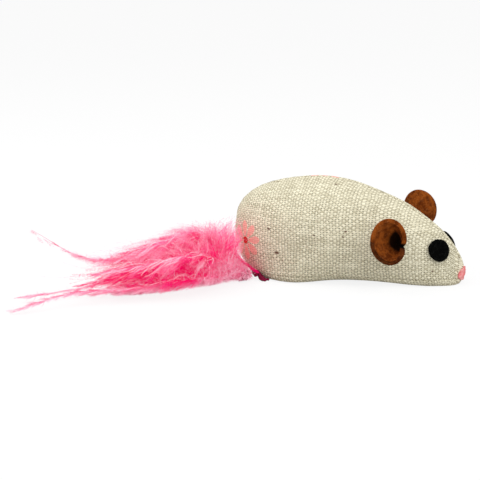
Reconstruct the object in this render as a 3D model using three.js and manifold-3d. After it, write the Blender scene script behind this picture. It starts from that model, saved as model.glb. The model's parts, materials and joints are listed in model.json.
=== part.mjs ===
import * as THREE from 'three';
import { mergeVertices } from 'three/addons/utils/BufferGeometryUtils.js';
import Module from 'manifold-3d';

// Catnip mouse: a small linen toy sewn from two sides and a base, stuffed around a core
// of dried catnip, with felt ears and eyes, a felt nose and a tail of dyed down feathers.
// Millimetres, +Z up. The origin is the middle of the flat base and the nose points to +X.

const wasm = await Module();
wasm.setup();

// Body outline, seen from the side and from above
const bodyLength = 74.6;
const bodyHalfWidth = 16;
const crownHeight = 31.5;
const crownSetback = 27;
const widestSetback = 26.8;
const rumpHeight = 17.1;
const rumpTuck = 12.5;
const noseHeight = 5;
const noseTuck = 3.75;
const bellyPress = 1.2;

// Body section: the exponents of its superellipses and the height of its widest line
const backSlope = 0.66;
const snoutTaper = 0.62;
const upperRound = 2;
const lowerRound = 2.6;
const waistLine = 0.42;

// Cloth and sewing
const linen = 0.8;
const seamHeight = 2.1;
const seamAllowance = 2.6;
const seamGap = 0.3;
const clearance = 0.3;

// Catnip core
const catnipRadius = 8;
const catnipHeight = 13;
const catnipShoulder = 4.3;
const catnipSetback = 33;

// Felt eyes and nose
const eyeRadius = 3.5;
const eyeFelt = 1;
const eyeSetback = 7;
const eyeHeight = 11.5;
const noseFelt = 0.5;
const noseReach = 2.3;
const noseHalfWidth = 3;
const noseHalfHeight = 2.3;
const noseCentreHeight = 3.5;

// Felt ears: a disc pinched at its root into a deep cup. The left ear sits a little
// further ahead and higher than the right one, and is folded further back.
const earFelt = 1.4;
const earHalfWidth = 4.4;
const earHalfHeight = 6.2;
const earOffsetBack = 3.1;
const earOffsetUp = 0.5;
const earRootRadius = 1.2;
const earRootSetback = 18.8;
const earRootHeight = 13.9;
const leftEarAhead = 2;
const leftEarRise = 1.3;
const leftEarFold = 15;
const earRearDepth = 7.6;
const earFrontDepth = 4.2;
const earCup = 1.4;
const earPinch = 0.7;
const earPinchAngle = -14;
const earPinchSpread = 24;

// Tail: quills tied in a bunch that comes out of the seam at the rear of the right side
const tailSetback = 11.5;
const tailTurn = 38.5;
const knotRadius = 1.7;
const knotProud = 0.7;
const quillRadius = 0.33;
const quillPitch = 1;
const bindingStart = 3.3;
const bindingLength = 2.8;
const bindingWall = 0.35;

// Feathers. Each has a seat in the bunch, in degrees round its middle one, and a path for its
// quill, in the frame of the tail: along it, to its near side and up from the floor. Then come
// the bare length of the quill and the half width, lean, cup and fade of the vane, which
// narrows from its fade to the tip.
const fluff = 1.5;
const vaneSwell = 0.28;
const barbSweep = 0.5;
const barbNotch = 0.2;
const notchEvery = 3;
const midBarb = 0.5;
const midFluff = 0.6;
const tipHalfWidth = 0.35;
const quillTip = 0.12;
const feathers = [
  {
    name: 'crest_feather', seat: 90,
    path: [[11, 0, 10.6], [20, 0, 16.2], [31, 0.5, 15], [46, 1, 10.5]],
    bare: 9, half: 7.4, lean: 0, cup: 0.26, fade: 0.5,
  },
  {
    name: 'upper_near_feather', seat: 30,
    path: [[12, 3.6, 7.6], [22, 6.6, 11.8], [36, 6.6, 10.4], [54, 5.4, 8.4]],
    bare: 8, half: 6.2, lean: -20, cup: 0.1, fade: 0.45,
  },
  {
    name: 'upper_far_feather', seat: 150,
    path: [[12, -3.6, 7.6], [22, -6.6, 11.8], [38, -5.6, 9.8], [54, -3.8, 11.6], [70, -3, 22]],
    bare: 8, half: 6.2, lean: 20, cup: 0.1, fade: 0.35,
  },
  {
    name: 'middle_feather', seat: null,
    path: [[12, 0, 4.8], [22, 0, 8.2], [38, 0.4, 6.8], [58, 1.2, 4.4]],
    bare: 7.5, half: 7.6, lean: 0, cup: 0.12, fade: 0.5,
  },
  {
    name: 'lower_near_feather', seat: -30,
    path: [[12, 4, 3], [22, 8, 4.6], [40, 8.8, 3.8], [60, 8.6, 2.6], [79, 9.6, 0.9]],
    bare: 7, half: 7.2, lean: -6, cup: 0.12, fade: 0.35,
  },
  {
    name: 'lower_far_feather', seat: 210,
    path: [[12, -4, 3], [22, -8, 4.6], [40, -7.6, 3.8], [57, -5, 2.8], [73, -1.8, 1.9]],
    bare: 7, half: 7.2, lean: 6, cup: 0.12, fade: 0.35,
  },
  {
    name: 'ground_feather', seat: -90,
    path: [[12, 0.2, 1.2], [24, 0.8, 1.8], [38, 1.4, 1.7], [54, 2, 1.4]],
    bare: 7, half: 8.4, lean: 0, cup: 0.02, fade: 0.5,
  },
];

// Facets
const bodySteps = 22;
const bodySides = 24;
const earSides = 24;
const earRings = 4;
const featherSteps = 26;
const roundSides = 16;
const domeSteps = 6;
const weld = 1e-5;
const slopeStep = 0.1;
const earStep = 0.01;

function cloth(colour) {
  return new THREE.MeshStandardMaterial({ color: colour, roughness: 0.92, metalness: 0 });
}

const linenCloth = cloth(0xd2caae);
const fibrefill = cloth(0xf2f0ea);
const driedHerb = cloth(0x6f7a3c);
const brownFelt = cloth(0x7b3f16);
const blackFelt = cloth(0x0b0b0a);
const pinkFelt = cloth(0xf0697a);
const pinkThread = cloth(0xa8124a);
const pinkDown = cloth(0xf9578e);

// A closed geometry becomes a solid once its shared corners are merged.
function toSolid(geometry) {
  const bare = geometry.clone();
  bare.deleteAttribute('normal');
  bare.deleteAttribute('uv');
  const merged = mergeVertices(bare, weld);
  return new wasm.Manifold(new wasm.Mesh({
    numProp: 3,
    vertProperties: new Float32Array(merged.attributes.position.array),
    triVerts: new Uint32Array(merged.index.array),
  }));
}

function toGeometry(solid) {
  const data = solid.getMesh();
  const geometry = new THREE.BufferGeometry();
  geometry.setAttribute('position', new THREE.BufferAttribute(data.vertProperties, 3));
  geometry.setIndex(new THREE.BufferAttribute(data.triVerts, 1));
  geometry.computeVertexNormals();
  return geometry;
}

const mouse = new THREE.Group();

function addPiece(name, geometry, material) {
  const mesh = new THREE.Mesh(geometry, material);
  mesh.name = name;
  mouse.add(mesh);
}

// The same piece on the other side of the middle plane, with its faces still outwards.
function mirrored(geometry) {
  const other = geometry.clone().scale(1, -1, 1);
  const corners = other.index.array;
  for (let i = 0; i < corners.length; i += 3) {
    [corners[i], corners[i + 1]] = [corners[i + 1], corners[i]];
  }
  return other;
}

function boxSolid(low, high) {
  const size = high.map((value, i) => value - low[i]);
  const box = new THREE.BoxGeometry(...size);
  box.translate(...low.map((value, i) => value + size[i] / 2));
  return toSolid(box);
}

function ballSolid(centre, radius) {
  const ball = new THREE.SphereGeometry(radius, roundSides, roundSides / 2);
  return toSolid(ball.translate(centre.x, centre.y, centre.z));
}

// A closed skin over rings of points, all with the same count, from a point to a point.
function skin(start, rings, end) {
  const count = rings[0].length;
  const points = [start, ...rings.flat(), end];
  const last = points.length - 1;
  const faces = [];
  for (let i = 0; i < count; i += 1) {
    const next = (i + 1) % count;
    faces.push(0, 1 + next, 1 + i);
    for (let k = 0; k + 1 < rings.length; k += 1) {
      const a = 1 + k * count;
      const b = a + count;
      faces.push(a + i, a + next, b + next, a + i, b + next, b + i);
    }
    const tail = 1 + (rings.length - 1) * count;
    faces.push(last, tail + i, tail + next);
  }
  const numbers = points.flatMap((point) => point.toArray());
  const geometry = new THREE.BufferGeometry();
  geometry.setAttribute('position', new THREE.Float32BufferAttribute(numbers, 3));
  geometry.setIndex(faces);
  geometry.computeVertexNormals();
  return geometry;
}

// Quarter of a circle, from 0 to 1 with a steep start
function arc(share) {
  const rest = 1 - Math.min(Math.max(share, 0), 1);
  return Math.sqrt(1 - rest * rest);
}

// The body's outline, moved inwards by an inset or outwards by a negative one. A sink
// lowers its underside alone.
function bodyShape(inset, sink = 0) {
  return {
    rear: -bodyLength / 2 + inset,
    length: bodyLength - 2 * inset,
    crown: crownSetback - inset,
    widest: widestSetback - inset,
    top: crownHeight - inset,
    half: bodyHalfWidth - inset,
    bottom: inset - bellyPress - sink,
  };
}

// Half width, top, waist and bottom of the body at a distance from its rear end.
function bodySection(shape, along) {
  const fall = Math.max(along - shape.crown, 0) / (shape.length - shape.crown);
  const narrow = Math.max(along - shape.widest, 0) / (shape.length - shape.widest);
  const top = along < shape.crown
    ? rumpHeight + (shape.top - rumpHeight) * arc(along / shape.crown)
    : noseHeight + (shape.top - noseHeight) * Math.max(1 - fall * fall, 0) ** backSlope;
  const half = along < shape.widest
    ? shape.half * arc(along / shape.widest)
    : shape.half * Math.max(1 - narrow * narrow, 0) ** snoutTaper;
  const bottom = shape.bottom
    + (rumpHeight - shape.bottom) * (1 - arc(along / rumpTuck))
    + (noseHeight - shape.bottom) * (1 - arc((shape.length - along) / noseTuck));
  return { half, top, waist: bottom + (top - bottom) * waistLine, bottom };
}

function bodyRing(shape, along) {
  const section = bodySection(shape, along);
  const ring = [];
  for (let i = 0; i < bodySides; i += 1) {
    const turn = (2 * Math.PI * i) / bodySides;
    const across = Math.cos(turn);
    const up = Math.sin(turn);
    const power = 2 / (up >= 0 ? upperRound : lowerRound);
    const reach = up >= 0 ? section.top - section.waist : section.waist - section.bottom;
    ring.push(new THREE.Vector3(
      shape.rear + along,
      section.half * Math.sign(across) * Math.abs(across) ** power,
      section.waist + reach * Math.sign(up) * Math.abs(up) ** power,
    ));
  }
  return ring;
}

function bodySolid(inset, sink) {
  const shape = bodyShape(inset, sink);
  const rings = [];
  for (let k = 1; k < bodySteps; k += 1) {
    rings.push(bodyRing(shape, (shape.length * (1 - Math.cos((Math.PI * k) / bodySteps))) / 2));
  }
  const rear = new THREE.Vector3(shape.rear, 0, rumpHeight);
  const nose = new THREE.Vector3(shape.rear + shape.length, 0, noseHeight);
  return toSolid(skin(rear, rings, nose));
}

// The body as it rests, cut flat where it is pressed on the floor. Cutters reach well past it.
const far = 2 * bodyLength;

function restingBody(inset) {
  return bodySolid(inset).intersect(boxSolid([-far, -far, inset], [far, far, far]));
}

// Half width of the body at a place along it and a height, and the point and the
// outward direction of its right side there.
function sideWidth(x, z) {
  const shape = bodyShape(0);
  const section = bodySection(shape, x - shape.rear);
  const reach = z > section.waist ? section.top - section.waist : section.waist - section.bottom;
  const power = z > section.waist ? upperRound : lowerRound;
  const rise = Math.abs(z - section.waist) / reach;
  return section.half * (1 - rise ** power) ** (1 / power);
}

function rightSide(x, z) {
  const slopeX = (sideWidth(x + slopeStep, z) - sideWidth(x - slopeStep, z)) / (2 * slopeStep);
  const slopeZ = (sideWidth(x, z + slopeStep) - sideWidth(x, z - slopeStep)) / (2 * slopeStep);
  return {
    point: new THREE.Vector3(x, -sideWidth(x, z), z),
    out: new THREE.Vector3(-slopeX, -1, -slopeZ).normalize(),
  };
}

// The directions along the tail and to its near side, and the middle of its knot, which
// stands a little proud of the seam
const turn = THREE.MathUtils.degToRad(tailTurn);
const tailAlong = new THREE.Vector3(-Math.cos(turn), -Math.sin(turn), 0);
const tailNear = new THREE.Vector3(Math.sin(turn), -Math.cos(turn), 0);
const tailSeat = rightSide(tailSetback - bodyLength / 2, seamHeight);
const tailRoot = tailSeat.point.addScaledVector(tailAlong, knotProud);
const knotPocket = ballSolid(tailRoot, knotRadius + clearance);

// Linen sides and base: a thin shell parted along the back and round the base. The sides
// turn in along the back, where the seam allowance lies inside the body.
const linenShell = restingBody(0).subtract(restingBody(linen));
const aboveSeam = seamHeight + seamGap / 2;
const belowSeam = seamHeight - seamGap / 2;
const leftHalf = boxSolid([-far, seamGap / 2, aboveSeam], [far, far, far]);
const turnIn = boxSolid([-far, seamGap / 2, aboveSeam], [far, seamGap / 2 + linen, far]);
const allowance = restingBody(linen / 2)
  .subtract(bodySolid(linen + seamAllowance, seamAllowance))
  .intersect(turnIn);
const leftPanel = linenShell.intersect(leftHalf).add(allowance);
const rightPanel = toSolid(mirrored(toGeometry(leftPanel))).subtract(knotPocket);
const underside = boxSolid([-far, -far, -far], [far, far, belowSeam]);
const basePanel = linenShell.intersect(underside).subtract(knotPocket);
addPiece('right_side_panel', toGeometry(rightPanel), linenCloth);
addPiece('left_side_panel', toGeometry(leftPanel), linenCloth);
addPiece('base_panel', toGeometry(basePanel), linenCloth);

// Catnip core, a domed handful, and the well that the stuffing leaves for it
function catnipDome(grow) {
  const profile = [new THREE.Vector2(0, -grow), new THREE.Vector2(catnipRadius + grow, -grow)];
  for (let i = 0; i < domeSteps; i += 1) {
    const lift = (Math.PI / 2) * (i / domeSteps);
    profile.push(new THREE.Vector2(
      (catnipRadius + grow) * Math.cos(lift),
      catnipShoulder + (catnipHeight - catnipShoulder + grow) * Math.sin(lift),
    ));
  }
  profile.push(new THREE.Vector2(0, catnipHeight + grow));
  const dome = new THREE.LatheGeometry(profile, roundSides);
  dome.rotateX(Math.PI / 2);
  return dome.translate(-bodyLength / 2 + catnipSetback, 0, linen + clearance);
}

// Stuffing, which fills the linen and parts round the seam allowance, the catnip and the knot
const slotHalf = seamGap / 2 + linen + clearance;
const seamSlot = boxSolid([-far, -slotHalf, seamHeight - clearance], [far, slotHalf, far]);
const stuffingBlock = restingBody(linen + clearance);
const stuffingCore = bodySolid(linen + seamAllowance + clearance, seamAllowance).intersect(stuffingBlock);
const stuffing = stuffingBlock
  .subtract(seamSlot)
  .add(stuffingCore)
  .subtract(toSolid(catnipDome(clearance)))
  .subtract(knotPocket);
addPiece('stuffing', toGeometry(stuffing), fibrefill);
addPiece('catnip_filling', catnipDome(0), driedHerb);

// Felt that follows the body: a layer of the given thickness, cut out by a tool
function feltPatch(tool, thickness) {
  return bodySolid(-clearance - thickness).subtract(bodySolid(-clearance)).intersect(tool);
}

// The turn that takes an upright lathe or cylinder to a direction
function turnTo(direction) {
  return new THREE.Quaternion().setFromUnitVectors(new THREE.Vector3(0, 1, 0), direction);
}

// Eyes, round dots of felt stuck on the head
const eyeSeat = rightSide(bodyLength / 2 - eyeSetback, eyeHeight);
const eyeCutter = new THREE.CylinderGeometry(eyeRadius, eyeRadius, bodyHalfWidth, roundSides);
eyeCutter.applyQuaternion(turnTo(eyeSeat.out));
eyeCutter.translate(...eyeSeat.point.toArray());
const eyeHead = boxSolid([0, -far, 0], [far, 0, far]);
const rightEye = toGeometry(feltPatch(toSolid(eyeCutter), eyeFelt).intersect(eyeHead));
addPiece('right_eye', rightEye, blackFelt);
addPiece('left_eye', mirrored(rightEye), blackFelt);

// Nose, a small cap of felt on the tip of the snout
const noseCutter = new THREE.SphereGeometry(1, roundSides, roundSides / 2);
noseCutter.scale(noseReach, noseHalfWidth, noseHalfHeight);
noseCutter.translate(bodyLength / 2, 0, noseCentreHeight);
addPiece('nose_patch', toGeometry(feltPatch(toSolid(noseCutter), noseFelt)), pinkFelt);

// Ears: the felt rises from its root in a cup, deepest behind, with a pinched fold in front.
// How far a direction lies in the fold, from 0 to 1
function earFold(angle) {
  const turned = angle - THREE.MathUtils.degToRad(earPinchAngle);
  const off = Math.atan2(Math.sin(turned), Math.cos(turned)) / THREE.MathUtils.degToRad(earPinchSpread);
  return Math.exp(-off * off);
}

// Distance from the root to the edge of the ear, an offset ellipse with a pinched notch
function earReach(angle) {
  const ahead = Math.cos(angle) / earHalfWidth;
  const up = Math.sin(angle) / earHalfHeight;
  const shiftAhead = earOffsetBack / earHalfWidth;
  const shiftUp = -earOffsetUp / earHalfHeight;
  const a = ahead * ahead + up * up;
  const b = ahead * shiftAhead + up * shiftUp;
  const c = shiftAhead * shiftAhead + shiftUp * shiftUp - 1;
  const edge = (-b + Math.sqrt(b * b - a * c)) / a;
  return edge * (1 - earPinch * earFold(angle));
}

// Hollow face of the ear, in its own frame: ahead, up and out from the middle of its root
function earPoint(share, angle) {
  const reach = earReach(angle) * share;
  const behind = (1 - Math.cos(angle)) / 2;
  const depth = earFrontDepth + (earRearDepth - earFrontDepth) * behind;
  const floor = earFelt - earRootRadius / 2;
  const out = floor + depth * share ** earCup;
  return new THREE.Vector3(reach * Math.cos(angle), reach * Math.sin(angle), out);
}

// The hollow face at a share of the way to the edge, or the back face that lies a drop
// below it. In the fold the back face goes straight down, so its walls stay apart.
function earRing(share, drop) {
  const out = new THREE.Vector3(0, 0, 1);
  const ring = [];
  for (let i = 0; i < earSides; i += 1) {
    const angle = (2 * Math.PI * i) / earSides;
    const alongReach = earPoint(share + earStep, angle).sub(earPoint(share - earStep, angle));
    const alongTurn = earPoint(share, angle + earStep).sub(earPoint(share, angle - earStep));
    const normal = new THREE.Vector3().crossVectors(alongReach, alongTurn).normalize();
    ring.push(earPoint(share, angle).addScaledVector(normal.lerp(out, earFold(angle)), -drop));
  }
  return ring;
}

// The felt cup and, at its root, a ball about the line on which the ear bends
function earGeometry() {
  const shares = Array.from({ length: earRings }, (_, k) => (k + 1) / earRings);
  const rings = [
    ...shares.map((share) => earRing(share, earFelt)),
    ...shares.reverse().map((share) => earRing(share, 0)),
  ];
  const hollow = earPoint(0, 0);
  const back = hollow.clone().setZ(hollow.z - earFelt);
  return toGeometry(toSolid(skin(back, rings, hollow)).add(ballSolid(new THREE.Vector3(), earRootRadius)));
}

// An ear on the right side of the head, its root a clearance above the linen, folded
// back by an angle about the upright line through its root
function rightEarAt(x, z, fold) {
  const seat = rightSide(x, z);
  const ahead = new THREE.Vector3(1, 0, 0).addScaledVector(seat.out, -seat.out.x).normalize();
  const up = new THREE.Vector3().crossVectors(seat.out, ahead);
  const hinge = seat.point.clone().addScaledVector(seat.out, clearance + earRootRadius);
  const ear = earGeometry().rotateY(THREE.MathUtils.degToRad(-fold));
  return ear.applyMatrix4(new THREE.Matrix4().makeBasis(ahead, up, seat.out).setPosition(hinge));
}

const leftEarX = earRootSetback + leftEarAhead;
const leftEarZ = earRootHeight + leftEarRise;
addPiece('right_ear', rightEarAt(earRootSetback, earRootHeight, 0), brownFelt);
addPiece('left_ear', mirrored(rightEarAt(leftEarX, leftEarZ, leftEarFold)), brownFelt);

// Knot that holds the tail in the seam
addPiece('tail_knot', toGeometry(ballSolid(tailRoot, knotRadius)), pinkThread);

// Thread binding round the bunch of quills
const bunchRadius = quillPitch + quillRadius;
const boreRadius = bunchRadius + clearance;
const bindingProfile = [
  new THREE.Vector2(boreRadius, 0),
  new THREE.Vector2(boreRadius + bindingWall / 2, 0),
  new THREE.Vector2(boreRadius + bindingWall, bindingLength / 4),
  new THREE.Vector2(boreRadius + bindingWall, (bindingLength * 3) / 4),
  new THREE.Vector2(boreRadius + bindingWall / 2, bindingLength),
  new THREE.Vector2(boreRadius, bindingLength),
  new THREE.Vector2(boreRadius, 0),
];
const binding = new THREE.LatheGeometry(bindingProfile, roundSides);
binding.applyQuaternion(turnTo(tailAlong));
binding.translate(...tailRoot.clone().addScaledVector(tailAlong, bindingStart).toArray());
addPiece('tail_binding', binding, pinkThread);

// Feathers: a quill that tapers along its path, with a cupped vane of down on both sides
// whose barbs sweep towards the tip and end in a ragged edge
function tailPoint(along, near, height) {
  return new THREE.Vector3(tailRoot.x, tailRoot.y, height)
    .addScaledVector(tailAlong, along)
    .addScaledVector(tailNear, near);
}

function featherQuill(feather) {
  const angle = THREE.MathUtils.degToRad(feather.seat ?? 0);
  const pitch = feather.seat === null ? 0 : quillPitch;
  const near = pitch * Math.cos(angle);
  const height = seamHeight + pitch * Math.sin(angle);
  const bindingEnd = bindingStart + bindingLength;
  return new THREE.CatmullRomCurve3([
    tailPoint(knotRadius + clearance, near, height),
    tailPoint(bindingStart, near, height),
    tailPoint(bindingEnd, near, height),
    tailPoint(bindingEnd + quillPitch, near, height),
    ...feather.path.map((place) => tailPoint(...place)),
  ], false, 'centripetal');
}

function featherGeometry(feather) {
  const quill = featherQuill(feather);
  const start = (feather.bare - knotRadius) / quill.getLength();
  const lean = THREE.MathUtils.degToRad(feather.lean);
  const rings = [];
  for (let k = 0; k <= featherSteps; k += 1) {
    const share = k / featherSteps;
    const centre = quill.getPointAt(share);
    const along = quill.getTangentAt(share);
    const level = tailNear.clone().addScaledVector(along, -tailNear.dot(along)).normalize();
    const rise = new THREE.Vector3().crossVectors(along, level);
    const side = level.clone().multiplyScalar(Math.cos(lean)).addScaledVector(rise, Math.sin(lean));
    const up = new THREE.Vector3().crossVectors(along, side);
    const quillHalf = THREE.MathUtils.lerp(quillRadius, quillTip, share);
    const vane = Math.max(share - start, 0) / (1 - start);
    const swell = THREE.MathUtils.smoothstep(vane, 0, vaneSwell);
    const body = swell * (1 - THREE.MathUtils.smoothstep(vane, feather.fade, 1));
    const ragged = k % notchEvery === 0 ? 1 - barbNotch : 1;
    const half = Math.max(quillHalf, feather.half * body * ragged, vane > 0 ? tipHalfWidth : 0);
    const thick = Math.max(quillHalf, fluff * body);
    const edgeSweep = vane > 0 ? barbSweep * half : 0;
    const across = (reach, rounding) => centre.clone()
      .addScaledVector(side, half * reach)
      .addScaledVector(along, edgeSweep * Math.abs(reach))
      .addScaledVector(up, rounding * thick - feather.cup * body * half * reach * reach);
    rings.push([
      across(1, 0), across(midBarb, midFluff), across(0, 1), across(-midBarb, midFluff),
      across(-1, 0), across(-midBarb, -midFluff), across(0, -1), across(midBarb, -midFluff),
    ]);
  }
  return skin(quill.getPointAt(0), rings, quill.getPointAt(1));
}

for (const feather of feathers) {
  addPiece(feather.name, featherGeometry(feather), pinkDown);
}

export default mouse;
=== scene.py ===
import json
import math

import bmesh
import bpy
import numpy as np
from mathutils import Matrix, Vector, noise
from mathutils.bvhtree import BVHTree


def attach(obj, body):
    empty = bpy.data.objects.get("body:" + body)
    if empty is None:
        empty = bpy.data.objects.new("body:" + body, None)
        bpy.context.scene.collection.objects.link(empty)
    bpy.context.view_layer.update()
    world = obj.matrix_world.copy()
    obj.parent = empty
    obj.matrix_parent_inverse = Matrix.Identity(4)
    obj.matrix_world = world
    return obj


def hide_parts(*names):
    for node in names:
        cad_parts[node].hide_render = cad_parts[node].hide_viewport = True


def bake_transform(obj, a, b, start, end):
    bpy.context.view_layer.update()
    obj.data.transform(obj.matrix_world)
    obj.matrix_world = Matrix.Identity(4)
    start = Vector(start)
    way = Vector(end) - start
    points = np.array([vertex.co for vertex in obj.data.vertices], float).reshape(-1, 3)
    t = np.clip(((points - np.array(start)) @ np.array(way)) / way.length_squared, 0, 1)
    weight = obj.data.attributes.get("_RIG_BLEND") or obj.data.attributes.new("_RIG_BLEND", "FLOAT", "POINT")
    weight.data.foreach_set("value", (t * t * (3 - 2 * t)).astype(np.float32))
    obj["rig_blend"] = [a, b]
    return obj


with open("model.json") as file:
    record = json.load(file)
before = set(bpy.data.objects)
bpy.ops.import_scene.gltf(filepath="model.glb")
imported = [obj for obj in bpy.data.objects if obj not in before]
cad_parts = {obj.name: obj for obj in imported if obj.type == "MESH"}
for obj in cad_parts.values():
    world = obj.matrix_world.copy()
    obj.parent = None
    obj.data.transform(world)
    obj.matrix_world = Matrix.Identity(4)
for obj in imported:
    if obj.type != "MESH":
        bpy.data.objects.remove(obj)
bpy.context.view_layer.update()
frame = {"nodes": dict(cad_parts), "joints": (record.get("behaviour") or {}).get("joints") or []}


# Studio: a white sheet of paper under the toy, two broad soft lamps above its ends and even light
# from all round, seen by a camera a little above the floor and ahead of the right side.
class Wire:
    """One value in a material. Operators on wires add the Math nodes that work them out."""

    def __init__(self, tree, socket):
        self.tree = tree
        self.socket = socket

    def node(self, kind, settings=None, inputs=None, output=0):
        made = self.tree.nodes.new(kind)
        for name, value in (settings or {}).items():
            setattr(made, name, value)
        for name, value in (inputs or {}).items():
            self.plug(made.inputs[name], value)
        return Wire(self.tree, made.outputs[output])

    def plug(self, socket, value):
        """Joins a wire to a socket, or sets the socket to a plain value."""
        if isinstance(value, Wire):
            self.tree.links.new(value.socket, socket)
        else:
            socket.default_value = value

    def math(self, operation, *others):
        values = dict(enumerate([self, *others]))
        return self.node("ShaderNodeMath", {"operation": operation}, values)

    def __add__(self, other):
        return self.math("ADD", other)

    def __sub__(self, other):
        return self.math("SUBTRACT", other)

    def __rsub__(self, other):
        return (self * -1.0) + other

    def __mul__(self, other):
        return self.math("MULTIPLY", other)

    def __truediv__(self, other):
        return self.math("DIVIDE", other)

    def __pow__(self, other):
        return self.math("POWER", other)

    def __abs__(self):
        return self.math("ABSOLUTE")

    __radd__ = __add__
    __rmul__ = __mul__

    def ramp(self, low, high):
        """0 below low, 1 above high and smooth between them."""
        limits = {"Value": self, "From Min": low, "From Max": high}
        return self.node("ShaderNodeMapRange", {"interpolation_type": "SMOOTHSTEP"}, limits)

    def mix(self, first, second):
        """The first colour where this is 0 and the second where it is 1."""
        mixed = self.tree.nodes.new("ShaderNodeMix")
        mixed.data_type = "RGBA"
        for name, value in (("Factor", self), ("A", first), ("B", second)):
            self.plug(next(s for s in mixed.inputs if s.name == name and s.enabled), value)
        return Wire(self.tree, next(s for s in mixed.outputs if s.enabled))

    def shades(self, stops):
        """A colour from stops, each a place from 0 to 1 with its colour."""
        made = self.node("ShaderNodeValToRGB", {}, {"Fac": self})
        elements = made.socket.node.color_ramp.elements
        for spare in range(len(stops) - 2):
            elements.new(spare / len(stops))
        for stop, (place, shade) in zip(elements, stops):
            stop.position = place
            stop.color = shade
        return made

    def mottled(self, scale, detail, output=0, **more):
        """Soft noise at this place."""
        inputs = {"Vector": self, "Scale": scale, "Detail": detail, **more}
        return self.node("ShaderNodeTexNoise", {}, inputs, output)

    def bump(self, strength, distance):
        """The normals of a face with this height on it."""
        return self.node("ShaderNodeBump", {}, {"Height": self, "Strength": strength, "Distance": distance})

    def vector(self, x, y, z):
        return self.node("ShaderNodeCombineXYZ", {}, {0: x, 1: y, 2: z})

    def parts(self):
        """The x, y and z of a vector."""
        split = self.node("ShaderNodeSeparateXYZ", {}, {"Vector": self}).socket.node
        return [Wire(self.tree, output) for output in split.outputs]


def new_finish(name, roughness, gloss=0.2):
    """A material, its shader and a wire to start its nodes from."""
    material = bpy.data.materials.new(name)
    material.use_nodes = True
    shader = material.node_tree.nodes["Principled BSDF"]
    shader.inputs["Roughness"].default_value = roughness
    shader.inputs["Specular IOR Level"].default_value = gloss
    return material, shader, Wire(material.node_tree, None)


def link(wire, shader, socket):
    wire.tree.links.new(wire.socket, shader.inputs[socket])


def new_piece(name, bm, material):
    """An object at the origin from a bmesh, with smooth faces."""
    mesh = bpy.data.meshes.new(name)
    bm.to_mesh(mesh)
    bm.free()
    mesh.shade_smooth()
    mesh.materials.append(material)
    piece = bpy.data.objects.new(name, mesh)
    bpy.context.scene.collection.objects.link(piece)
    return piece


def directly_seen(w):
    """1 for what the camera sees, also in or through another thing, and 0 for light that falls on one."""
    rays = w.node("ShaderNodeLightPath").socket.node
    kinds = ("Is Camera Ray", "Is Glossy Ray", "Is Transmission Ray")
    camera, glossy, through = (Wire(w.tree, rays.outputs[kind]) for kind in kinds)
    return camera.math("MAXIMUM", glossy).math("MAXIMUM", through)


scene = bpy.context.scene
scene.view_settings.view_transform = "Standard"

paper_half = 3.0
paper_white = (1, 1, 1, 1)
paper_bounce = (0.6, 0.6, 0.6, 1)
paper_glow = 0.86
paper, paper_shader, w = new_finish("white_paper", roughness=0.9)
seen = directly_seen(w)
link(seen.mix(paper_bounce, paper_white), paper_shader, "Base Color")
white = w.node("ShaderNodeEmission", {}, {"Color": paper_white, "Strength": 1.0})
lit = Wire(paper.node_tree, paper_shader.outputs[0])
mixed = w.node("ShaderNodeMixShader", {}, {0: seen * paper_glow, 1: lit, 2: white})
link(mixed, paper.node_tree.nodes["Material Output"], "Surface")
bm = bmesh.new()
bmesh.ops.create_grid(bm, x_segments=1, y_segments=1, size=paper_half)
paper_sheet = new_piece("paper_sheet", bm, paper)

room_light = 0.66
world = bpy.data.worlds.new("room")
scene.world = world
world.use_nodes = True
w = Wire(world.node_tree, None)
background = world.node_tree.nodes["Background"]
background.inputs["Color"].default_value = (1, 1, 1, 1)
seen = directly_seen(w)
link(seen * (1 - room_light) + room_light, background, "Strength")

lamp_power = 1.09
lamp_side = 0.45
for name, place in (("front_lamp", (0.33, -0.20, 0.38)), ("rear_lamp", (-0.28, -0.06, 0.43))):
    lamp_data = bpy.data.lights.new(name, "AREA")
    lamp_data.energy = lamp_power
    lamp_data.size = lamp_side
    lamp = bpy.data.objects.new(name, lamp_data)
    lamp.location = place
    lamp.rotation_mode = "QUATERNION"
    lamp.rotation_quaternion = (-lamp.location).to_track_quat("-Z", "Y")
    scene.collection.objects.link(lamp)

photo_side = 480
camera_turn = math.radians(15)
camera_rise = math.radians(15)
camera_distance = 0.430
focal_pixels = 1344.6
origin_across = 347.7
origin_down = 275.1
back = Vector((
    math.sin(camera_turn) * math.cos(camera_rise),
    -math.cos(camera_turn) * math.cos(camera_rise),
    math.sin(camera_rise),
))
across = Vector((math.cos(camera_turn), math.sin(camera_turn), 0))
upward = back.cross(across)
aim = (
    -back * focal_pixels
    + across * (photo_side / 2 - origin_across)
    + upward * (origin_down - photo_side / 2)
)
camera_data = bpy.data.cameras.new("camera")
camera_data.lens = camera_data.sensor_width * focal_pixels / photo_side
camera_data.clip_start = 0.01
camera = bpy.data.objects.new("camera", camera_data)
camera.location = back * camera_distance
camera.rotation_mode = "QUATERNION"
level_look = Matrix((across, upward, back)).transposed().to_quaternion()
camera.rotation_quaternion = (-back).rotation_difference(aim) @ level_look
scene.collection.objects.link(camera)
scene.camera = camera


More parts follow.
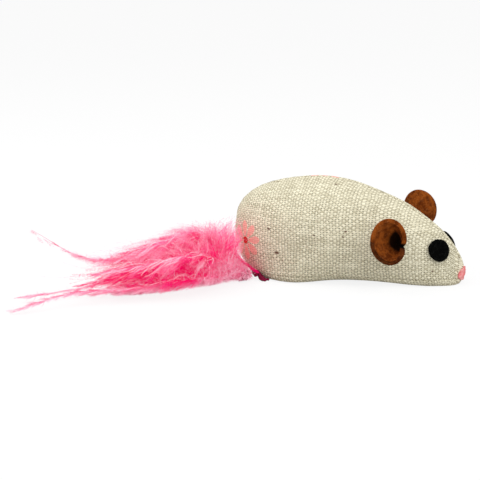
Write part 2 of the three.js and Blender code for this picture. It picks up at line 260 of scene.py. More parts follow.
# Linen body: two sides and a base of natural plain-woven linen with a small printed flower,
# sewn inside out, turned and stuffed hard, so the cloth stands taut and dips at each seam.
mm = 0.001
body_length = 74.6 * mm
body_half_width = 16 * mm
crown_height = 31.5 * mm
crown_setback = 27 * mm
widest_setback = 26.8 * mm
crown_swell = 0.75 * mm
crown_swell_setback = 33 * mm
crown_swell_spread = 12 * mm
rump_height = 15.8 * mm
rump_round = 2.25
rump_tuck = 12.5 * mm
nose_height = 5 * mm
nose_tuck = 3.75 * mm
belly_press = 1.2 * mm
back_slope = 0.66
snout_taper = 0.62
upper_round = 2
lower_round = 3
haunch_round = 2.4
haunch_setback = 22 * mm
haunch_spread = 8 * mm
waist_line = 0.42
linen_thickness = 0.6 * mm
seam_height = 2.1 * mm


def arc(share, power=2):
    """Quarter of a circle, from 0 to 1 with a steep start, or of a squarer round of a higher power."""
    rest = 1 - min(max(share, 0), 1)
    return (1 - rest ** power) ** (1 / power)


def hump(place, middle, spread):
    """1 at the middle, falling off smoothly to both sides."""
    off = (place - middle) / spread
    return math.exp(-off * off)


def body_section(along):
    """Half width, top, waist and bottom of the body at a distance from its rear end."""
    fall = max(along - crown_setback, 0) / (body_length - crown_setback)
    narrow = max(along - widest_setback, 0) / (body_length - widest_setback)
    if along < crown_setback:
        top = rump_height + (crown_height - rump_height) * arc(along / crown_setback, rump_round)
    else:
        top = nose_height + (crown_height - nose_height) * max(1 - fall * fall, 0) ** back_slope
    if along < widest_setback:
        half = body_half_width * arc(along / widest_setback, rump_round)
    else:
        half = body_half_width * max(1 - narrow * narrow, 0) ** snout_taper
    top += crown_swell * hump(along, crown_swell_setback, crown_swell_spread)
    bottom = (
        -belly_press
        + (rump_height + belly_press) * (1 - arc(along / rump_tuck))
        + (nose_height + belly_press) * (1 - arc((body_length - along) / nose_tuck))
    )
    return half, top, bottom + (top - bottom) * waist_line, bottom


def lower_power(along):
    """How square the lower half of the body's section is: most at the haunches."""
    return lower_round + haunch_round * hump(along, haunch_setback, haunch_spread)


def body_point(along, turn):
    """A point of the cover. The turn goes round from the left side over the back."""
    half, top, waist, bottom = body_section(along)
    side = math.cos(turn)
    up = math.sin(turn)
    power = 2 / (upper_round if up >= 0 else lower_power(along))
    reach = top - waist if up >= 0 else waist - bottom
    return Vector((
        along - body_length / 2,
        half * math.copysign(abs(side) ** power, side),
        waist + reach * math.copysign(abs(up) ** power, up),
    ))


def side_width(x, z):
    """Half width of the body at a place along it and a height."""
    along = x + body_length / 2
    half, top, waist, bottom = body_section(along)
    power = upper_round if z > waist else lower_power(along)
    reach = max(top - waist if z > waist else waist - bottom, 1e-9)
    return half * max(1 - (abs(z - waist) / reach) ** power, 0) ** (1 / power)


def baked_shape(piece):
    """The piece's mesh with its modifiers applied."""
    return bpy.data.meshes.new_from_object(piece.evaluated_get(bpy.context.evaluated_depsgraph_get()))


# Where a point of the body lies on its flat cloth, in mm: threads run along the length, from
# the middle of the toy, and up the side, from a level line at thread_level. The third number
# is the distance from the back seam.
thread_level = 11 * mm
girth_steps = 160
length_steps = 400


def half_girth(along):
    """Turns from the belly to the back, and the cloth's height on the flat at each."""
    turns = np.linspace(-math.pi / 2, math.pi / 2, girth_steps)
    points = np.array([body_point(along, turn) for turn in turns])
    run = np.concatenate([[0], np.cumsum(np.linalg.norm(np.diff(points, axis=0), axis=1))])
    level = min(max(thread_level, points[0, 2]), points[-1, 2])
    return turns, run - np.interp(level, points[:, 2], run) + level - thread_level


length_places = np.linspace(0, body_length, length_steps)
level_widths = [side_width(place - body_length / 2, thread_level) for place in length_places]
level_line = np.stack([length_places, level_widths], 1)
length_runs = np.concatenate([[0], np.cumsum(np.linalg.norm(np.diff(level_line, axis=0), axis=1))])
length_runs -= np.interp(body_length / 2, length_places, length_runs)

cover_sides = 96
cover_steps = 64
bm = bmesh.new()
weave = bm.verts.layers.float_vector.new("weave")
bmesh.ops.create_uvsphere(bm, u_segments=cover_sides, v_segments=cover_steps, radius=1)
girths = {}
for vert in bm.verts:
    along = round(body_length * (1 - vert.co.z) / 2, 9)
    turn = math.atan2(vert.co.y, vert.co.x)
    if along not in girths:
        girths[along] = half_girth(along)
    mirrored_turn = turn if abs(turn) <= math.pi / 2 else math.copysign(math.pi, turn) - turn
    height = np.interp(mirrored_turn, *girths[along])
    from_back = girths[along][1][-1] - height
    vert[weave] = Vector((np.interp(along, length_places, length_runs), height, from_back)) / mm
    vert.co = body_point(along, turn)
    vert.co.z = max(vert.co.z, 0)
bmesh.ops.reverse_faces(bm, faces=bm.faces)

# Stuffing blows the cover out between its seams: it starts a little slack, its seams and its
# base are held, and it is worked at ten times its size, where cloth behaves as on a cushion.
slack = 0.5 * mm
sim_scale = 10
sim_frames = 20
sim_pressure = 5
sim_quality = 6
sim_stiffness = 20
sim_bending = 1
most_swell = 0.9 * mm
seam_hold = 1.3 * mm
bm.normal_update()
rest_places = [vert.co.copy() for vert in bm.verts]
held = []
for vert in bm.verts:
    to_seam = min(abs(vert.co.y), abs(vert.co.z - seam_height)) / seam_hold
    hold = 1.0 if vert.co.z < seam_height else max(1 - to_seam * to_seam, 0)
    held.append(hold)
    vert.co = (vert.co - vert.normal * slack * (1 - hold)) * sim_scale
cover = new_piece("cover", bm, None)
pins = cover.vertex_groups.new(name="seams")
for index, hold in enumerate(held):
    if hold > 0:
        pins.add([index], hold, "REPLACE")
cloth = cover.modifiers.new("pressure", "CLOTH")
cloth.settings.quality = sim_quality
cloth.settings.tension_stiffness = sim_stiffness
cloth.settings.compression_stiffness = sim_stiffness
cloth.settings.bending_stiffness = sim_bending
cloth.settings.use_pressure = True
cloth.settings.uniform_pressure_force = sim_pressure
cloth.settings.vertex_group_mass = "seams"
cloth.settings.effector_weights.gravity = 0
cloth.point_cache.frame_end = sim_frames
for step in range(1, sim_frames + 1):
    scene.frame_set(step)
blown = cover.evaluated_get(bpy.context.evaluated_depsgraph_get()).to_mesh()
for vert, place in zip(cover.data.vertices, [v.co.copy() for v in blown.vertices]):
    vert.co = place
cover.modifiers.remove(cloth)
scene.frame_set(1)
for vert, place in zip(cover.data.vertices, rest_places):
    shift = vert.co / sim_scale - place
    vert.co = place + shift.normalized() * min(shift.length, most_swell)
    vert.co.z = max(vert.co.z, 0)
finer = cover.modifiers.new("finer", "SUBSURF")
finer.levels = finer.render_levels = 1
fine_mesh = baked_shape(cover)
bpy.data.objects.remove(cover)

# Hand stuffing leaves soft lumps, each stitch pulls a small pucker into the cloth, the seams lie
# a little below the cloth beside them, and the belly arches between the rump and the chest.
lump_size = 9 * mm
lump_height = 0.22 * mm
lump_fade = 4 * mm
stitch_pitch = 2.1 * mm
pucker_reach = 2.4 * mm
pucker_height = 0.07 * mm
pucker_slant = 0.6
seam_margin = 0.9 * mm
seam_dip = 0.35 * mm
belly_arch = 1.2 * mm
belly_middle = 6.5 * mm
belly_half_length = 22 * mm
belly_edge = 8 * mm


def arch_at(place):
    """How far the belly is lifted off the floor at a place."""
    middle = max(1 - ((place.x - belly_middle) / belly_half_length) ** 2, 0) ** 2
    return belly_arch * middle * max(1 - place.z / belly_edge, 0) ** 2


bm = bmesh.new()
bm.from_mesh(fine_mesh)
back_cuts = [((0, seam_margin * share, 0), (0, 1, 0)) for share in (-1, -0.5, 0.5, 1)]
base_cuts = [
    ((0, 0, seam_height + seam_margin * share), (0, 0, 1)) for share in (-1, -0.5, 0, 0.5, 1)
]
for place, facing in back_cuts + base_cuts:
    whole = [*bm.verts, *bm.edges, *bm.faces]
    bmesh.ops.bisect_plane(bm, geom=whole, dist=1e-7, plane_co=place, plane_no=facing)
right_panel = 0
left_panel = 1
base_panel = 2
for face in bm.faces:
    middle = face.calc_center_median()
    side_panel = right_panel if middle.y < 0 else left_panel
    face.material_index = base_panel if middle.z < seam_height else side_panel
bm.normal_update()
for vert in bm.verts:
    lump = noise.noise(vert.co / lump_size) * lump_height
    to_back = abs(vert.co.y) if vert.co.z > seam_height else 1
    to_seam = min(to_back, abs(vert.co.z - seam_height))
    pucker = max(1 - to_seam / pucker_reach, 0) ** 2
    dip = max(1 - to_seam / seam_margin, 0) ** 2 * seam_dip
    wave = math.sin(2 * math.pi * (vert.co.x + pucker_slant * vert.co.z) / (2 * stitch_pitch))
    lift = (lump + wave * pucker_height * pucker) * min(vert.co.z / lump_fade, 1)
    vert.co += vert.normal * (lift - dip)
    vert.co.z = max(vert.co.z, 0)
    vert.co.z += arch_at(vert.co)
cover_mesh = bpy.data.meshes.new("whole_cover")
bm.to_mesh(cover_mesh)
bm.free()


# Linen cloth: slubby off-white threads, over and under by turns, with painted shade in the gaps between them
# and painted light and shade on the crossings, stray brown bits of stalk and, on each panel, the flowers of
# a sparse print.
def colour(red, green, blue):
    """A colour given as it looks on a screen, 0 to 255, as the linear one that a shader takes."""
    shares = [value / 255 for value in (red, green, blue)]
    linear = [s / 12.92 if s <= 0.04045 else ((s + 0.055) / 1.055) ** 2.4 for s in shares]
    return (*linear, 1)


thread_gap_along = 0.98
thread_gap_up = 0.68
thread_drift = 2.5
thread_wobble = 0.8
thread_square = 1.9
under_height = 0.55
over_rise = 0.45
thread_light = colour(252, 246, 219)
thread_mid = colour(201, 193, 164)
thread_gap_shade = colour(84, 73, 48)
stitch_shade = colour(128, 112, 82)
stalk_brown = colour(88, 42, 22)
petal_pink = colour(255, 176, 164)
heart_red = colour(208, 32, 24)
petals = 8
petal_start = 1.0
petal_end = 6.4
petal_half = 1.34
petal_widest = 0.6
petal_swell = 0.75
petal_blunt = 0.7
heart_radius = 1.35
ink_cover = 0.72
ink_spread = 0.24
fleck_cover = 0.85
stitch_from_back = 1.0
stitch_half_width = 0.22
stitch_half_length = 0.2
stitch_cover = 0.75
thread_relief = 0.16 * mm


def linen(name, flowers, flecks, seed):
    """Cloth with flowers (centre, turn, fullness) and flecks (along, up, radius), in mm on the flat."""
    material, shader, w = new_finish(name, roughness=0.92)
    place = w.node("ShaderNodeAttribute", {"attribute_name": "weave"}, output="Vector")
    along, up, from_back = place.parts()
    spot = w.vector(along + seed, up, seed * 1.7)
    drift_along, drift_up, _ = spot.mottled(0.07, 2.0, "Color").parts()
    wobble_along, wobble_up, _ = spot.mottled(0.45, 1.0, "Color").parts()
    a = along / thread_gap_along + drift_along * thread_drift + wobble_along * thread_wobble
    b = up / thread_gap_up + drift_up * thread_drift + wobble_up * thread_wobble
    a_cell = a.math("FLOOR")
    b_cell = b.math("FLOOR")
    a_wave = (a * math.pi).math("SINE")
    b_wave = (b * math.pi).math("SINE")

    def slub(cell, run, stretch):
        """Light and heavy stretches along each thread."""
        return w.vector(cell * 3.71, run * stretch, seed).mottled(1.0, 2.0)

    a_slub = slub(a_cell, b, 0.07)
    b_slub = slub(b_cell + 57.0, a, 0.06)
    tone = w.node("ShaderNodeTexWhiteNoise", {}, {"Vector": w.vector(a_cell, b_cell, seed)})
    a_round = abs(a_wave) ** (thread_square - a_slub * thread_square)
    b_round = abs(b_wave) ** (thread_square - b_slub * thread_square)
    a_over = under_height + over_rise * (b_wave * (a_cell * math.pi).math("COSINE"))
    b_over = under_height + over_rise * (a_wave * (b_cell * math.pi).math("COSINE") * -1.0)
    high = (a_round * a_over).math("MAXIMUM", b_round * b_over)
    fibre = place.mottled(2.6, 3.0, Roughness=0.7)
    open_weave = 0.8 + tone * 0.7 - (a_slub + b_slub) * 0.2
    # Painted shade in the gaps between the threads, where neither thread stands high
    shade = 1.0 - (1.0 - high.ramp(0.1, 0.5)) * open_weave
    # Painted light and shade: the crossings lighten and darken by turns, over the threads' own slubs, fibre
    # and random tone
    bright = a_wave * b_wave * 0.28 + tone * 0.36 + a_slub * 0.3 + b_slub * 0.65 + fibre * 0.7 - 0.62
    cloth = bright.ramp(-0.05, 0.8).mix(thread_mid, thread_light)
    cloth = shade.mix(thread_gap_shade, cloth)
    pulled = (stitch_half_width - abs(from_back - stitch_from_back)).ramp(0.0, 0.1)
    along_stitch = (along / (stitch_pitch / mm)).math("FRACT") - 0.5
    stitch = (stitch_half_length - abs(along_stitch)).ramp(0.0, 0.06)
    cloth = (pulled * stitch * stitch_cover).mix(cloth, stitch_shade)

    for centre, turn, fullness in flowers:
        x = along - centre[0]
        y = up - centre[1]
        angle = y.math("ARCTAN2", x) + turn
        reach = (x * x + y * y).math("SQRT")
        sector = 2 * math.pi / petals
        off = (angle / sector + 100.0).math("FRACT") - 0.5
        aside = abs((off * sector).math("SINE") * reach)
        share = ((reach - petal_start) / (petal_end - petal_start)).math("MAXIMUM", 0.0)
        blunt = ((share - petal_blunt) / (1 - petal_blunt)).math("MAXIMUM", 0.0)
        swell = (share / petal_widest).math("MINIMUM", 1.0) ** petal_swell
        width = swell * (1.0 - blunt ** 2.0).math("MAXIMUM", 0.0) ** 0.5
        ragged = width * (petal_half * fullness) - aside + (fibre - 0.5) * 0.4
        inked = ragged.ramp(0.0, 0.2) * share.ramp(0.0, 0.05) * high.ramp(0.0, 0.3)
        cloth = (inked * (ink_cover + tone * ink_spread)).mix(cloth, petal_pink)
        heart = (heart_radius - reach + (fibre - 0.5) * 0.6).ramp(0.0, 0.3)
        cloth = heart.mix(cloth, heart_red)

    for fleck_along, fleck_up, fleck_radius in flecks:
        x = (along - fleck_along) * 0.6 + (up - fleck_up) * 0.3
        y = up - fleck_up
        stalk = (fleck_radius - (x * x + y * y).math("SQRT") + (fibre - 0.5) * 0.5).ramp(0.0, 0.15)
        cloth = (stalk * fleck_cover).mix(cloth, stalk_brown)
    link(cloth, shader, "Base Color")
    link((high + fibre * 0.35).bump(0.9, thread_relief), shader, "Normal")
    return material


# Each panel's cut edge is folded in at the seam, towards the middle of the stuffing.
seam_tuck = 1.6 * mm
tuck_limit = 0.4
tuck_aim = 0.9


def panel(name, which, material):
    """One panel of the cover, with its edges turned into the seams and the cloth's thickness."""
    bm = bmesh.new()
    bm.from_mesh(cover_mesh)
    others = [face for face in bm.faces if face.material_index != which]
    bmesh.ops.delete(bm, geom=others, context="FACES")
    for face in bm.faces:
        face.material_index = 0
    weave = bm.verts.layers.float_vector["weave"]
    edge = [e for e in bm.edges if e.is_boundary]
    rim = {vert for e in edge for vert in e.verts}
    turned = bmesh.ops.extrude_edge_only(bm, edges=edge)["geom"]
    for vert in (v for v in turned if isinstance(v, bmesh.types.BMVert)):
        root = next(e.other_vert(vert) for e in vert.link_edges if e.other_vert(vert) in rim)
        _, _, waist, _ = body_section(min(max(vert.co.x + body_length / 2, 0), body_length))
        inwards = Vector((vert.co.x * tuck_aim, 0, waist)) - vert.co
        vert.co += inwards.normalized() * min(seam_tuck, inwards.length * tuck_limit)
        vert[weave] = root[weave]
    piece = new_piece(name, bm, material)
    wall = piece.modifiers.new("thickness", "SOLIDIFY")
    wall.thickness = linen_thickness
    wall.offset = -1
    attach(piece, "mouse")
    return piece


rump_flower = ((-31.5, 1.2), 0.25, 1.0)
right_back_flower = ((-8.0, 35.6), 0.4, 1.0)
left_back_flower = ((-7.4, 25.6), 0.39, 0.85)
left_cheek_flower = ((17.0, 1.0), 0.3, 1.0)
right_flecks = [
    (-18.9, -1.7, 0.55), (-21.9, 6.2, 0.42), (-14.5, 6.3, 0.22), (-6.6, 5.2, 0.3), (2.4, 5.1, 0.3),
    (3.2, 6.8, 0.32), (-22.6, 25.0, 0.32), (-2.4, 24.1, 0.32), (30.4, -6.0, 0.3), (9.9, -9.0, 0.36),
    (37.5, -10.9, 0.45),
]
left_flecks = [(-24, 9, 0.42), (-12, -3, 0.5), (-1, 12, 0.3), (9, 3, 0.36), (24, 8, 0.3), (-16, 20, 0.32)]
base_flecks = [(-20, -12, 0.4), (-3, -15, 0.32), (14, -11, 0.45)]
right_linen = linen("right_linen", [rump_flower, right_back_flower], right_flecks, 3.0)
left_linen = linen("left_linen", [left_back_flower, left_cheek_flower], left_flecks, 41.0)
base_linen = linen("base_linen", [], base_flecks, 83.0)
right_side = panel("right_side", right_panel, right_linen)
left_side = panel("left_side", left_panel, left_linen)
base = panel("base", base_panel, base_linen)
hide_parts("right_side_panel")
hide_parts("left_side_panel")
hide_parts("base_panel")


# Stuffing: loose white polyester fibre, pushed in through a gap in the base seam until the
# cover is hard, with a hollow in its middle for the catnip.
def soft_copy(node, name, voxel, material):
    """A copy of a solid with its edges softened by remeshing it."""
    bm = bmesh.new()
    bm.from_mesh(frame["nodes"][node].data)
    bmesh.ops.remove_doubles(bm, verts=bm.verts, dist=1e-6)
    piece = new_piece(name, bm, material)
    remesh = piece.modifiers.new("soft", "REMESH")
    remesh.mode = "VOXEL"
    remesh.voxel_size = voxel
    bm = bmesh.new()
    bm.from_mesh(baked_shape(piece))
    bpy.data.objects.remove(piece)
    every_way = {"use_axis_x": True, "use_axis_y": True, "use_axis_z": True}
    bmesh.ops.smooth_vert(bm, verts=bm.verts, factor=0.5, **every_way)
    return bm


fibre_shade = colour(214, 210, 200)
fibre_light = colour(246, 244, 238)
fibre_relief = 0.4 * mm
fibre_voxel = 1.0 * mm
tuft_size = 2.5 * mm
tuft_height = 0.5 * mm
fibre_white, fibre_shader, w = new_finish("fibre_white", roughness=0.95)
place = w.node("ShaderNodeTexCoord", output="Object")
clump = place.mottled(260.0, 5.0)
strand = place.mottled(1500.0, 3.0, Distortion=2.0)
link(clump.ramp(0.3, 0.7).mix(fibre_shade, fibre_light), fibre_shader, "Base Color")
link((clump + strand * 0.5).bump(0.8, fibre_relief), fibre_shader, "Normal")
bm = soft_copy("stuffing", "soft_stuffing", fibre_voxel, fibre_white)
bm.normal_update()
for vert in bm.verts:
    vert.co -= vert.normal * tuft_height * (0.5 + abs(noise.noise(vert.co / tuft_size)))
    vert.co.z += arch_at(vert.co)
stuffing = new_piece("stuffing_fibre", bm, fibre_white)
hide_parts("stuffing")
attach(stuffing, "mouse")


# Catnip: a handful of crumbled dry leaf in the middle of the stuffing, packed into a dome
# with flakes lying every way on it.
leaf_dark = colour(84, 92, 44)
leaf_light = colour(142, 148, 86)
leaf_relief = 0.2 * mm
leaf_voxel = 0.8 * mm
leaf_shrink = 0.5 * mm
flake_count = 420
flake_length = 1.3 * mm
flake_sink = 0.25 * mm
flake_tilt = 0.35
flake_share = 0.12
leaf_green, leaf_shader, w = new_finish("dry_leaf", roughness=0.9)
place = w.node("ShaderNodeTexCoord", output="Object")
patch = place.mottled(900.0, 3.0)
link(patch.ramp(0.35, 0.65).mix(leaf_dark, leaf_light), leaf_shader, "Base Color")
link(patch.bump(0.6, leaf_relief), leaf_shader, "Normal")
bm = soft_copy("catnip_filling", "soft_catnip", leaf_voxel, leaf_green)
bm.normal_update()
draw = np.random.default_rng(7)
spots = draw.choice(len(bm.verts), flake_count, replace=False)
bm.verts.ensure_lookup_table()
seats = [(bm.verts[i].co.copy(), bm.verts[i].normal.copy()) for i in spots]
for vert in bm.verts:
    vert.co -= vert.normal * leaf_shrink
for seat, out in seats:
    facing = (out + Vector(draw.normal(0, flake_tilt, 3))).normalized()
    tilt = facing.to_track_quat("Z", "Y").to_matrix().to_4x4()
    spin = Matrix.Rotation(draw.uniform(0, 2 * math.pi), 4, "Z")
    size = Matrix.Diagonal((draw.uniform(0.4, 1), draw.uniform(0.25, 0.6), flake_share, 1))
    at = Matrix.Translation(seat - out * (leaf_shrink + flake_sink))
    bmesh.ops.create_icosphere(bm, subdivisions=1, radius=flake_length / 2, matrix=at @ tilt @ spin @ size)
catnip = new_piece("catnip_leaf", bm, leaf_green)
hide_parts("catnip_filling")
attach(catnip, "mouse")


# Eyes: round dots punched from black wool felt and glued on the sides of the head, so each
# takes the head's curve and its cut edge stays square and a little hairy.
def side_seat(x, z, side):
    """The point and the outward direction of the body's side, -1 for the right and 1 for the left."""
    step = 0.1 * mm
    slope_x = (side_width(x + step, z) - side_width(x - step, z)) / (2 * step)
    slope_z = (side_width(x, z + step) - side_width(x, z - step)) / (2 * step)
    out = Vector((-slope_x, side, -slope_z)).normalized()
    return Vector((x, side * side_width(x, z), z)), out


def felt(name, dark, light, streak):
    """Pressed wool: mottled, with pale hairs caught in its face."""
    material, shader, w = new_finish(name, roughness=1.0, gloss=0.05)
    place = w.node("ShaderNodeTexCoord", output="Object")
    mottle = place.mottled(420.0, 6.0, Roughness=0.65)
    combed = {"Vector": place, "Rotation": (0.4, 0.7, 0.2), "Scale": (1, 0.16, 1)}
    hair = w.node("ShaderNodeMapping", {}, combed).mottled(1900.0, 2.0, Distortion=1.2)
    base = mottle.ramp(0.36, 0.64).mix(dark, light)
    base = (hair.ramp(0.56, 0.72) * 0.5).mix(base, streak)
    # Painted shade: the felt darkens almost to black where its attribute marks an ear's hollow and root
    pit = w.node("ShaderNodeAttribute", {"attribute_name": "pit"}, output="Fac")
    link((pit.ramp(0.0, 0.9) * 0.96).mix(base, pit_shadow), shader, "Base Color")
    link((mottle + hair * 0.7).bump(0.8, felt_nap), shader, "Normal")
    return material


def disc(bm, rings, segments):
    """A flat disc of radius 1 with its rings evenly spaced, made by turning one spoke."""
    spoke = [bm.verts.new((k / rings, 0, 0)) for k in range(rings + 1)]
    edges = [bm.edges.new(pair) for pair in zip(spoke, spoke[1:])]
    bmesh.ops.spin(
        bm, geom=[*spoke, *edges], axis=(0, 0, 1), cent=(0, 0, 0), angle=2 * math.pi,
        steps=segments, use_merge=True,
    )
    bmesh.ops.remove_doubles(bm, verts=bm.verts, dist=1e-6)
    bmesh.ops.recalc_face_normals(bm, faces=bm.faces)


def cut_edge(piece, thickness, rounding):
    """The thickness of a felt piece and the slight rounding of its cut edge."""
    wall = piece.modifiers.new("thickness", "SOLIDIFY")
    wall.thickness = thickness
    wall.offset = -1
    round_off = piece.modifiers.new("worn_edge", "BEVEL")
    round_off.width = rounding
    round_off.segments = 3
    round_off.profile = 0.5
    round_off.limit_method = "ANGLE"
    round_off.angle_limit = math.radians(50)


def rounded_place(place):
    """A point to the nearest thousandth of a millimetre, to sort by."""
    return tuple(round(value, 6) for value in place)


def hairs(name, piece, count, length, finish, seed):
    """Short loose hairs that stand off a felt piece, each a thin sliver with a free tip. None grow where the
    piece is painted with the shade of its hollow."""
    shape = baked_shape(piece)
    draw = np.random.default_rng(seed)
    # Faces and their corners can be listed in another order at each run, so both are sorted
    polygons = sorted(shape.polygons, key=lambda face: rounded_place(face.center))
    areas = np.array([face.area for face in polygons])
    if "pit" in shape.attributes:
        pits = np.array([value.value for value in shape.attributes["pit"].data])
        areas *= [pits[list(face.vertices)].max() <= 0 for face in polygons]
    faces = draw.choice(len(areas), count, p=areas / areas.sum())
    bm = bmesh.new()
    spots = bm.loops.layers.uv.new("OFBake")
    for index in faces:
        face = polygons[index]
        corners = sorted((shape.vertices[i].co for i in face.vertices), key=rounded_place)
        shares = draw.dirichlet(np.ones(len(corners)))
        root = sum((corner * share for corner, share in zip(corners, shares)), Vector())
        lean = (face.normal + Vector(draw.normal(0, hair_lean, 3))).normalized()
        reach = length * draw.uniform(0.4, 1.2)
        aside = lean.orthogonal().normalized() * hair_width / 2
        bend = Vector(draw.normal(0, hair_bend, 3)) * reach
        low = [bm.verts.new(root - face.normal * hair_width + step) for step in (aside, -aside)]
        mid = [bm.verts.new(root + lean * reach / 2 + step * 0.8) for step in (aside, -aside)]
        tip = bm.verts.new(root + lean * reach + bend)
        shade = draw.uniform(0.05, 0.95)
        for ends in ([low[0], low[1], mid[1], mid[0]], [mid[0], mid[1], tip]):
            for loop in bm.faces.new(ends).loops:
                side = 0.01 if loop.vert in (low[0], mid[0]) else -0.01
                along = 0.1 if loop.vert in low else 0.5 if loop.vert in mid else 0.9
                loop[spots].uv = (shade + side, along)
    return new_piece(name, bm, finish)


def hair_finish(name, dark, light):
    material, shader, w = new_finish(name, roughness=1.0, gloss=0.05)
    shade, _, _ = w.node("ShaderNodeUVMap", {"uv_map": "OFBake"}).parts()
    link(shade.mix(dark, light), shader, "Base Color")
    return material


# Painted shade: the near-black of an ear's hollow and root
pit_shadow = colour(8, 4, 2)
felt_nap = 0.25 * mm
hair_width = 0.045 * mm
hair_length = 0.32 * mm
hair_lean = 0.9
hair_bend = 0.25
eye_radius = 3.5 * mm
eye_felt = 1.0 * mm
eye_setback = 7 * mm
eye_height = 11.5 * mm
eye_dome = 0.25 * mm
eye_glue = 0.05 * mm
eye_wrap = 0.4
eye_edge = 0.22 * mm
eye_probe = 5 * mm
eye_sag = 1.5 * mm
eye_hairs = 700
black_hair = hair_finish("black_hair", colour(3, 3, 3), colour(30, 32, 30))
black_felt = felt("black_felt", colour(1, 1, 1), colour(5, 5, 4), colour(34, 36, 34))
dressed = {}
for side, panel_piece in ((-1, right_side), (1, left_side)):
    bm = bmesh.new()
    bm.from_mesh(panel_piece.data)
    dressed[side] = BVHTree.FromBMesh(bm)
    bm.free()


def eye(name, side):
    seat, out = side_seat(body_length / 2 - eye_setback, eye_height, side)
    ahead = (Vector((1, 0, 0)) - out * out.x).normalized()
    up = out.cross(ahead)
    bm = bmesh.new()
    disc(bm, 6, 40)
    for vert in bm.verts:
        share = vert.co.length
        angle = math.atan2(vert.co.y, vert.co.x)
        radius = eye_radius * (1 + 0.02 * math.sin(3 * angle + side) + 0.012 * math.sin(7 * angle))
        spot = seat + (ahead * vert.co.x + up * vert.co.y) * radius
        hit = dressed[side].ray_cast(spot + out * eye_probe, -out)[0] or spot
        drop = max((hit - spot).dot(out), -eye_sag) * eye_wrap
        vert.co = spot + out * (drop + eye_glue + eye_felt - eye_dome * share * share)
    bmesh.ops.recalc_face_normals(bm, faces=bm.faces)
    middle = min(bm.faces, key=lambda face: (face.calc_center_median() - seat).length)
    if middle.normal.dot(out) < 0:
        bmesh.ops.reverse_faces(bm, faces=bm.faces)
    piece = new_piece(name, bm, black_felt)
    cut_edge(piece, eye_felt, eye_edge)
    fuzz = hairs(name + "_hair", piece, eye_hairs, hair_length, black_hair, 11 + side)
    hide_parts(name.replace("_dot", "_eye"))
    for part in (piece, fuzz):
        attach(part, "mouse")


eye("right_dot", -1)
eye("left_dot", 1)


# Nose: an oval scrap of pink felt, cut wider at its lower edge and glued over the tip of the
# snout, just above the base seam.
nose_felt = 0.5 * mm
nose_half_width = 3.7 * mm
nose_half_height = 2.15 * mm
nose_centre_height = 3.3 * mm
nose_taper = 0.5
nose_depth = 5 * mm
nose_edge = 0.12 * mm
nose_hairs = 260
nose_hair_length = 0.25 * mm
pink_felt = felt("pink_felt", colour(238, 130, 132), colour(252, 178, 176), colour(255, 218, 214))
snout = BVHTree.FromPolygons(
    [vert.co.copy() for vert in cover_mesh.vertices], [face.vertices[:] for face in cover_mesh.polygons]
)
bm = bmesh.new()
disc(bm, 5, 32)
heart_of_snout = Vector((body_length / 2 - nose_depth, 0, nose_centre_height))
for vert in bm.verts:
    half = nose_half_width * (1 - nose_taper * vert.co.y)
    aim = Vector((nose_depth, vert.co.x * half, vert.co.y * nose_half_height)).normalized()
    far_off = heart_of_snout + aim * body_length
    vert.co = snout.ray_cast(far_off, -aim)[0] + aim * nose_felt
bm.normal_update()
if sum(face.normal.x for face in bm.faces) < 0:
    bmesh.ops.reverse_faces(bm, faces=bm.faces)
nose = new_piece("nose_scrap", bm, pink_felt)
cut_edge(nose, nose_felt, nose_edge)
pink_hair = hair_finish("pink_hair", colour(236, 132, 132), colour(252, 190, 188))
nose_fuzz = hairs("nose_hair", nose, nose_hairs, nose_hair_length, pink_hair, 23)
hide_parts("nose_patch")
for part in (nose, nose_fuzz):
    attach(part, "mouse")


# Ears: ovals of thick brown felt, pinched together at one edge into a deep cup and sewn to
# the head by the pinch. The left one sits further ahead and higher, and is folded further back.
# The felt's cut edge is painted with shade at the lower rear of each ear and shows the plain felt elsewhere.
ear_felt = 1.4 * mm
ear_half_width = 4.4 * mm
ear_half_height = 6.2 * mm
ear_offset_back = 3.1 * mm
ear_offset_up = 0.5 * mm
ear_root_radius = 1.2 * mm
ear_root_place = 18.1 * mm
ear_root_height = 13.9 * mm
left_ear_ahead = 2.5 * mm
left_ear_rise = 0.5 * mm
left_ear_fold = math.radians(15)
left_ear_size = 1.06
left_ear_roll = math.radians(-16)
ear_rear_depth = 7.6 * mm
ear_front_depth = 4.2 * mm
ear_cup = 1.4
ear_pinch = 0.7
ear_pinch_angle = math.radians(-14)
ear_pinch_spread = math.radians(28)
ear_tuck = 0.74
ear_trim = 0.14
ear_trim_angle = math.radians(-128)
ear_trim_spread = math.radians(34)
ear_clearance = 0.3 * mm
ear_edge = 0.3 * mm
ear_rings = 14
ear_segments = 72
ear_hairs = 2600
# Painted shade in each ear's hollow: its middle, its reach and fade, and how deep in the cup it comes on
# each ear
pit_ahead = 0.8 * mm
pit_up = 1.3 * mm
pit_radius = 3.8 * mm
pit_fade = 1.2 * mm
pit_depth = 5.0 * mm
left_pit_depth = 2.6 * mm
rim_shade_limit = 1.0 * mm
rim_slant = 0.35
brown_hair = hair_finish("brown_hair", colour(98, 42, 9), colour(166, 98, 48))
# Painted shade: a darker brown on the cut edge at the lower rear of each ear
brown_rim_shade = felt("brown_rim_shade", colour(62, 26, 8), colour(98, 48, 18), colour(140, 86, 48))
brown_felt = felt("brown_felt", colour(88, 36, 6), colour(148, 76, 24), colour(172, 108, 60))


def bell(angle, middle, spread):
    """1 at an angle round the ear, falling off smoothly to both sides of it."""
    turned = angle - middle
    off = math.atan2(math.sin(turned), math.cos(turned)) / spread
    return math.exp(-off * off)


def ear_fold(angle):
    return bell(angle, ear_pinch_angle, ear_pinch_spread)


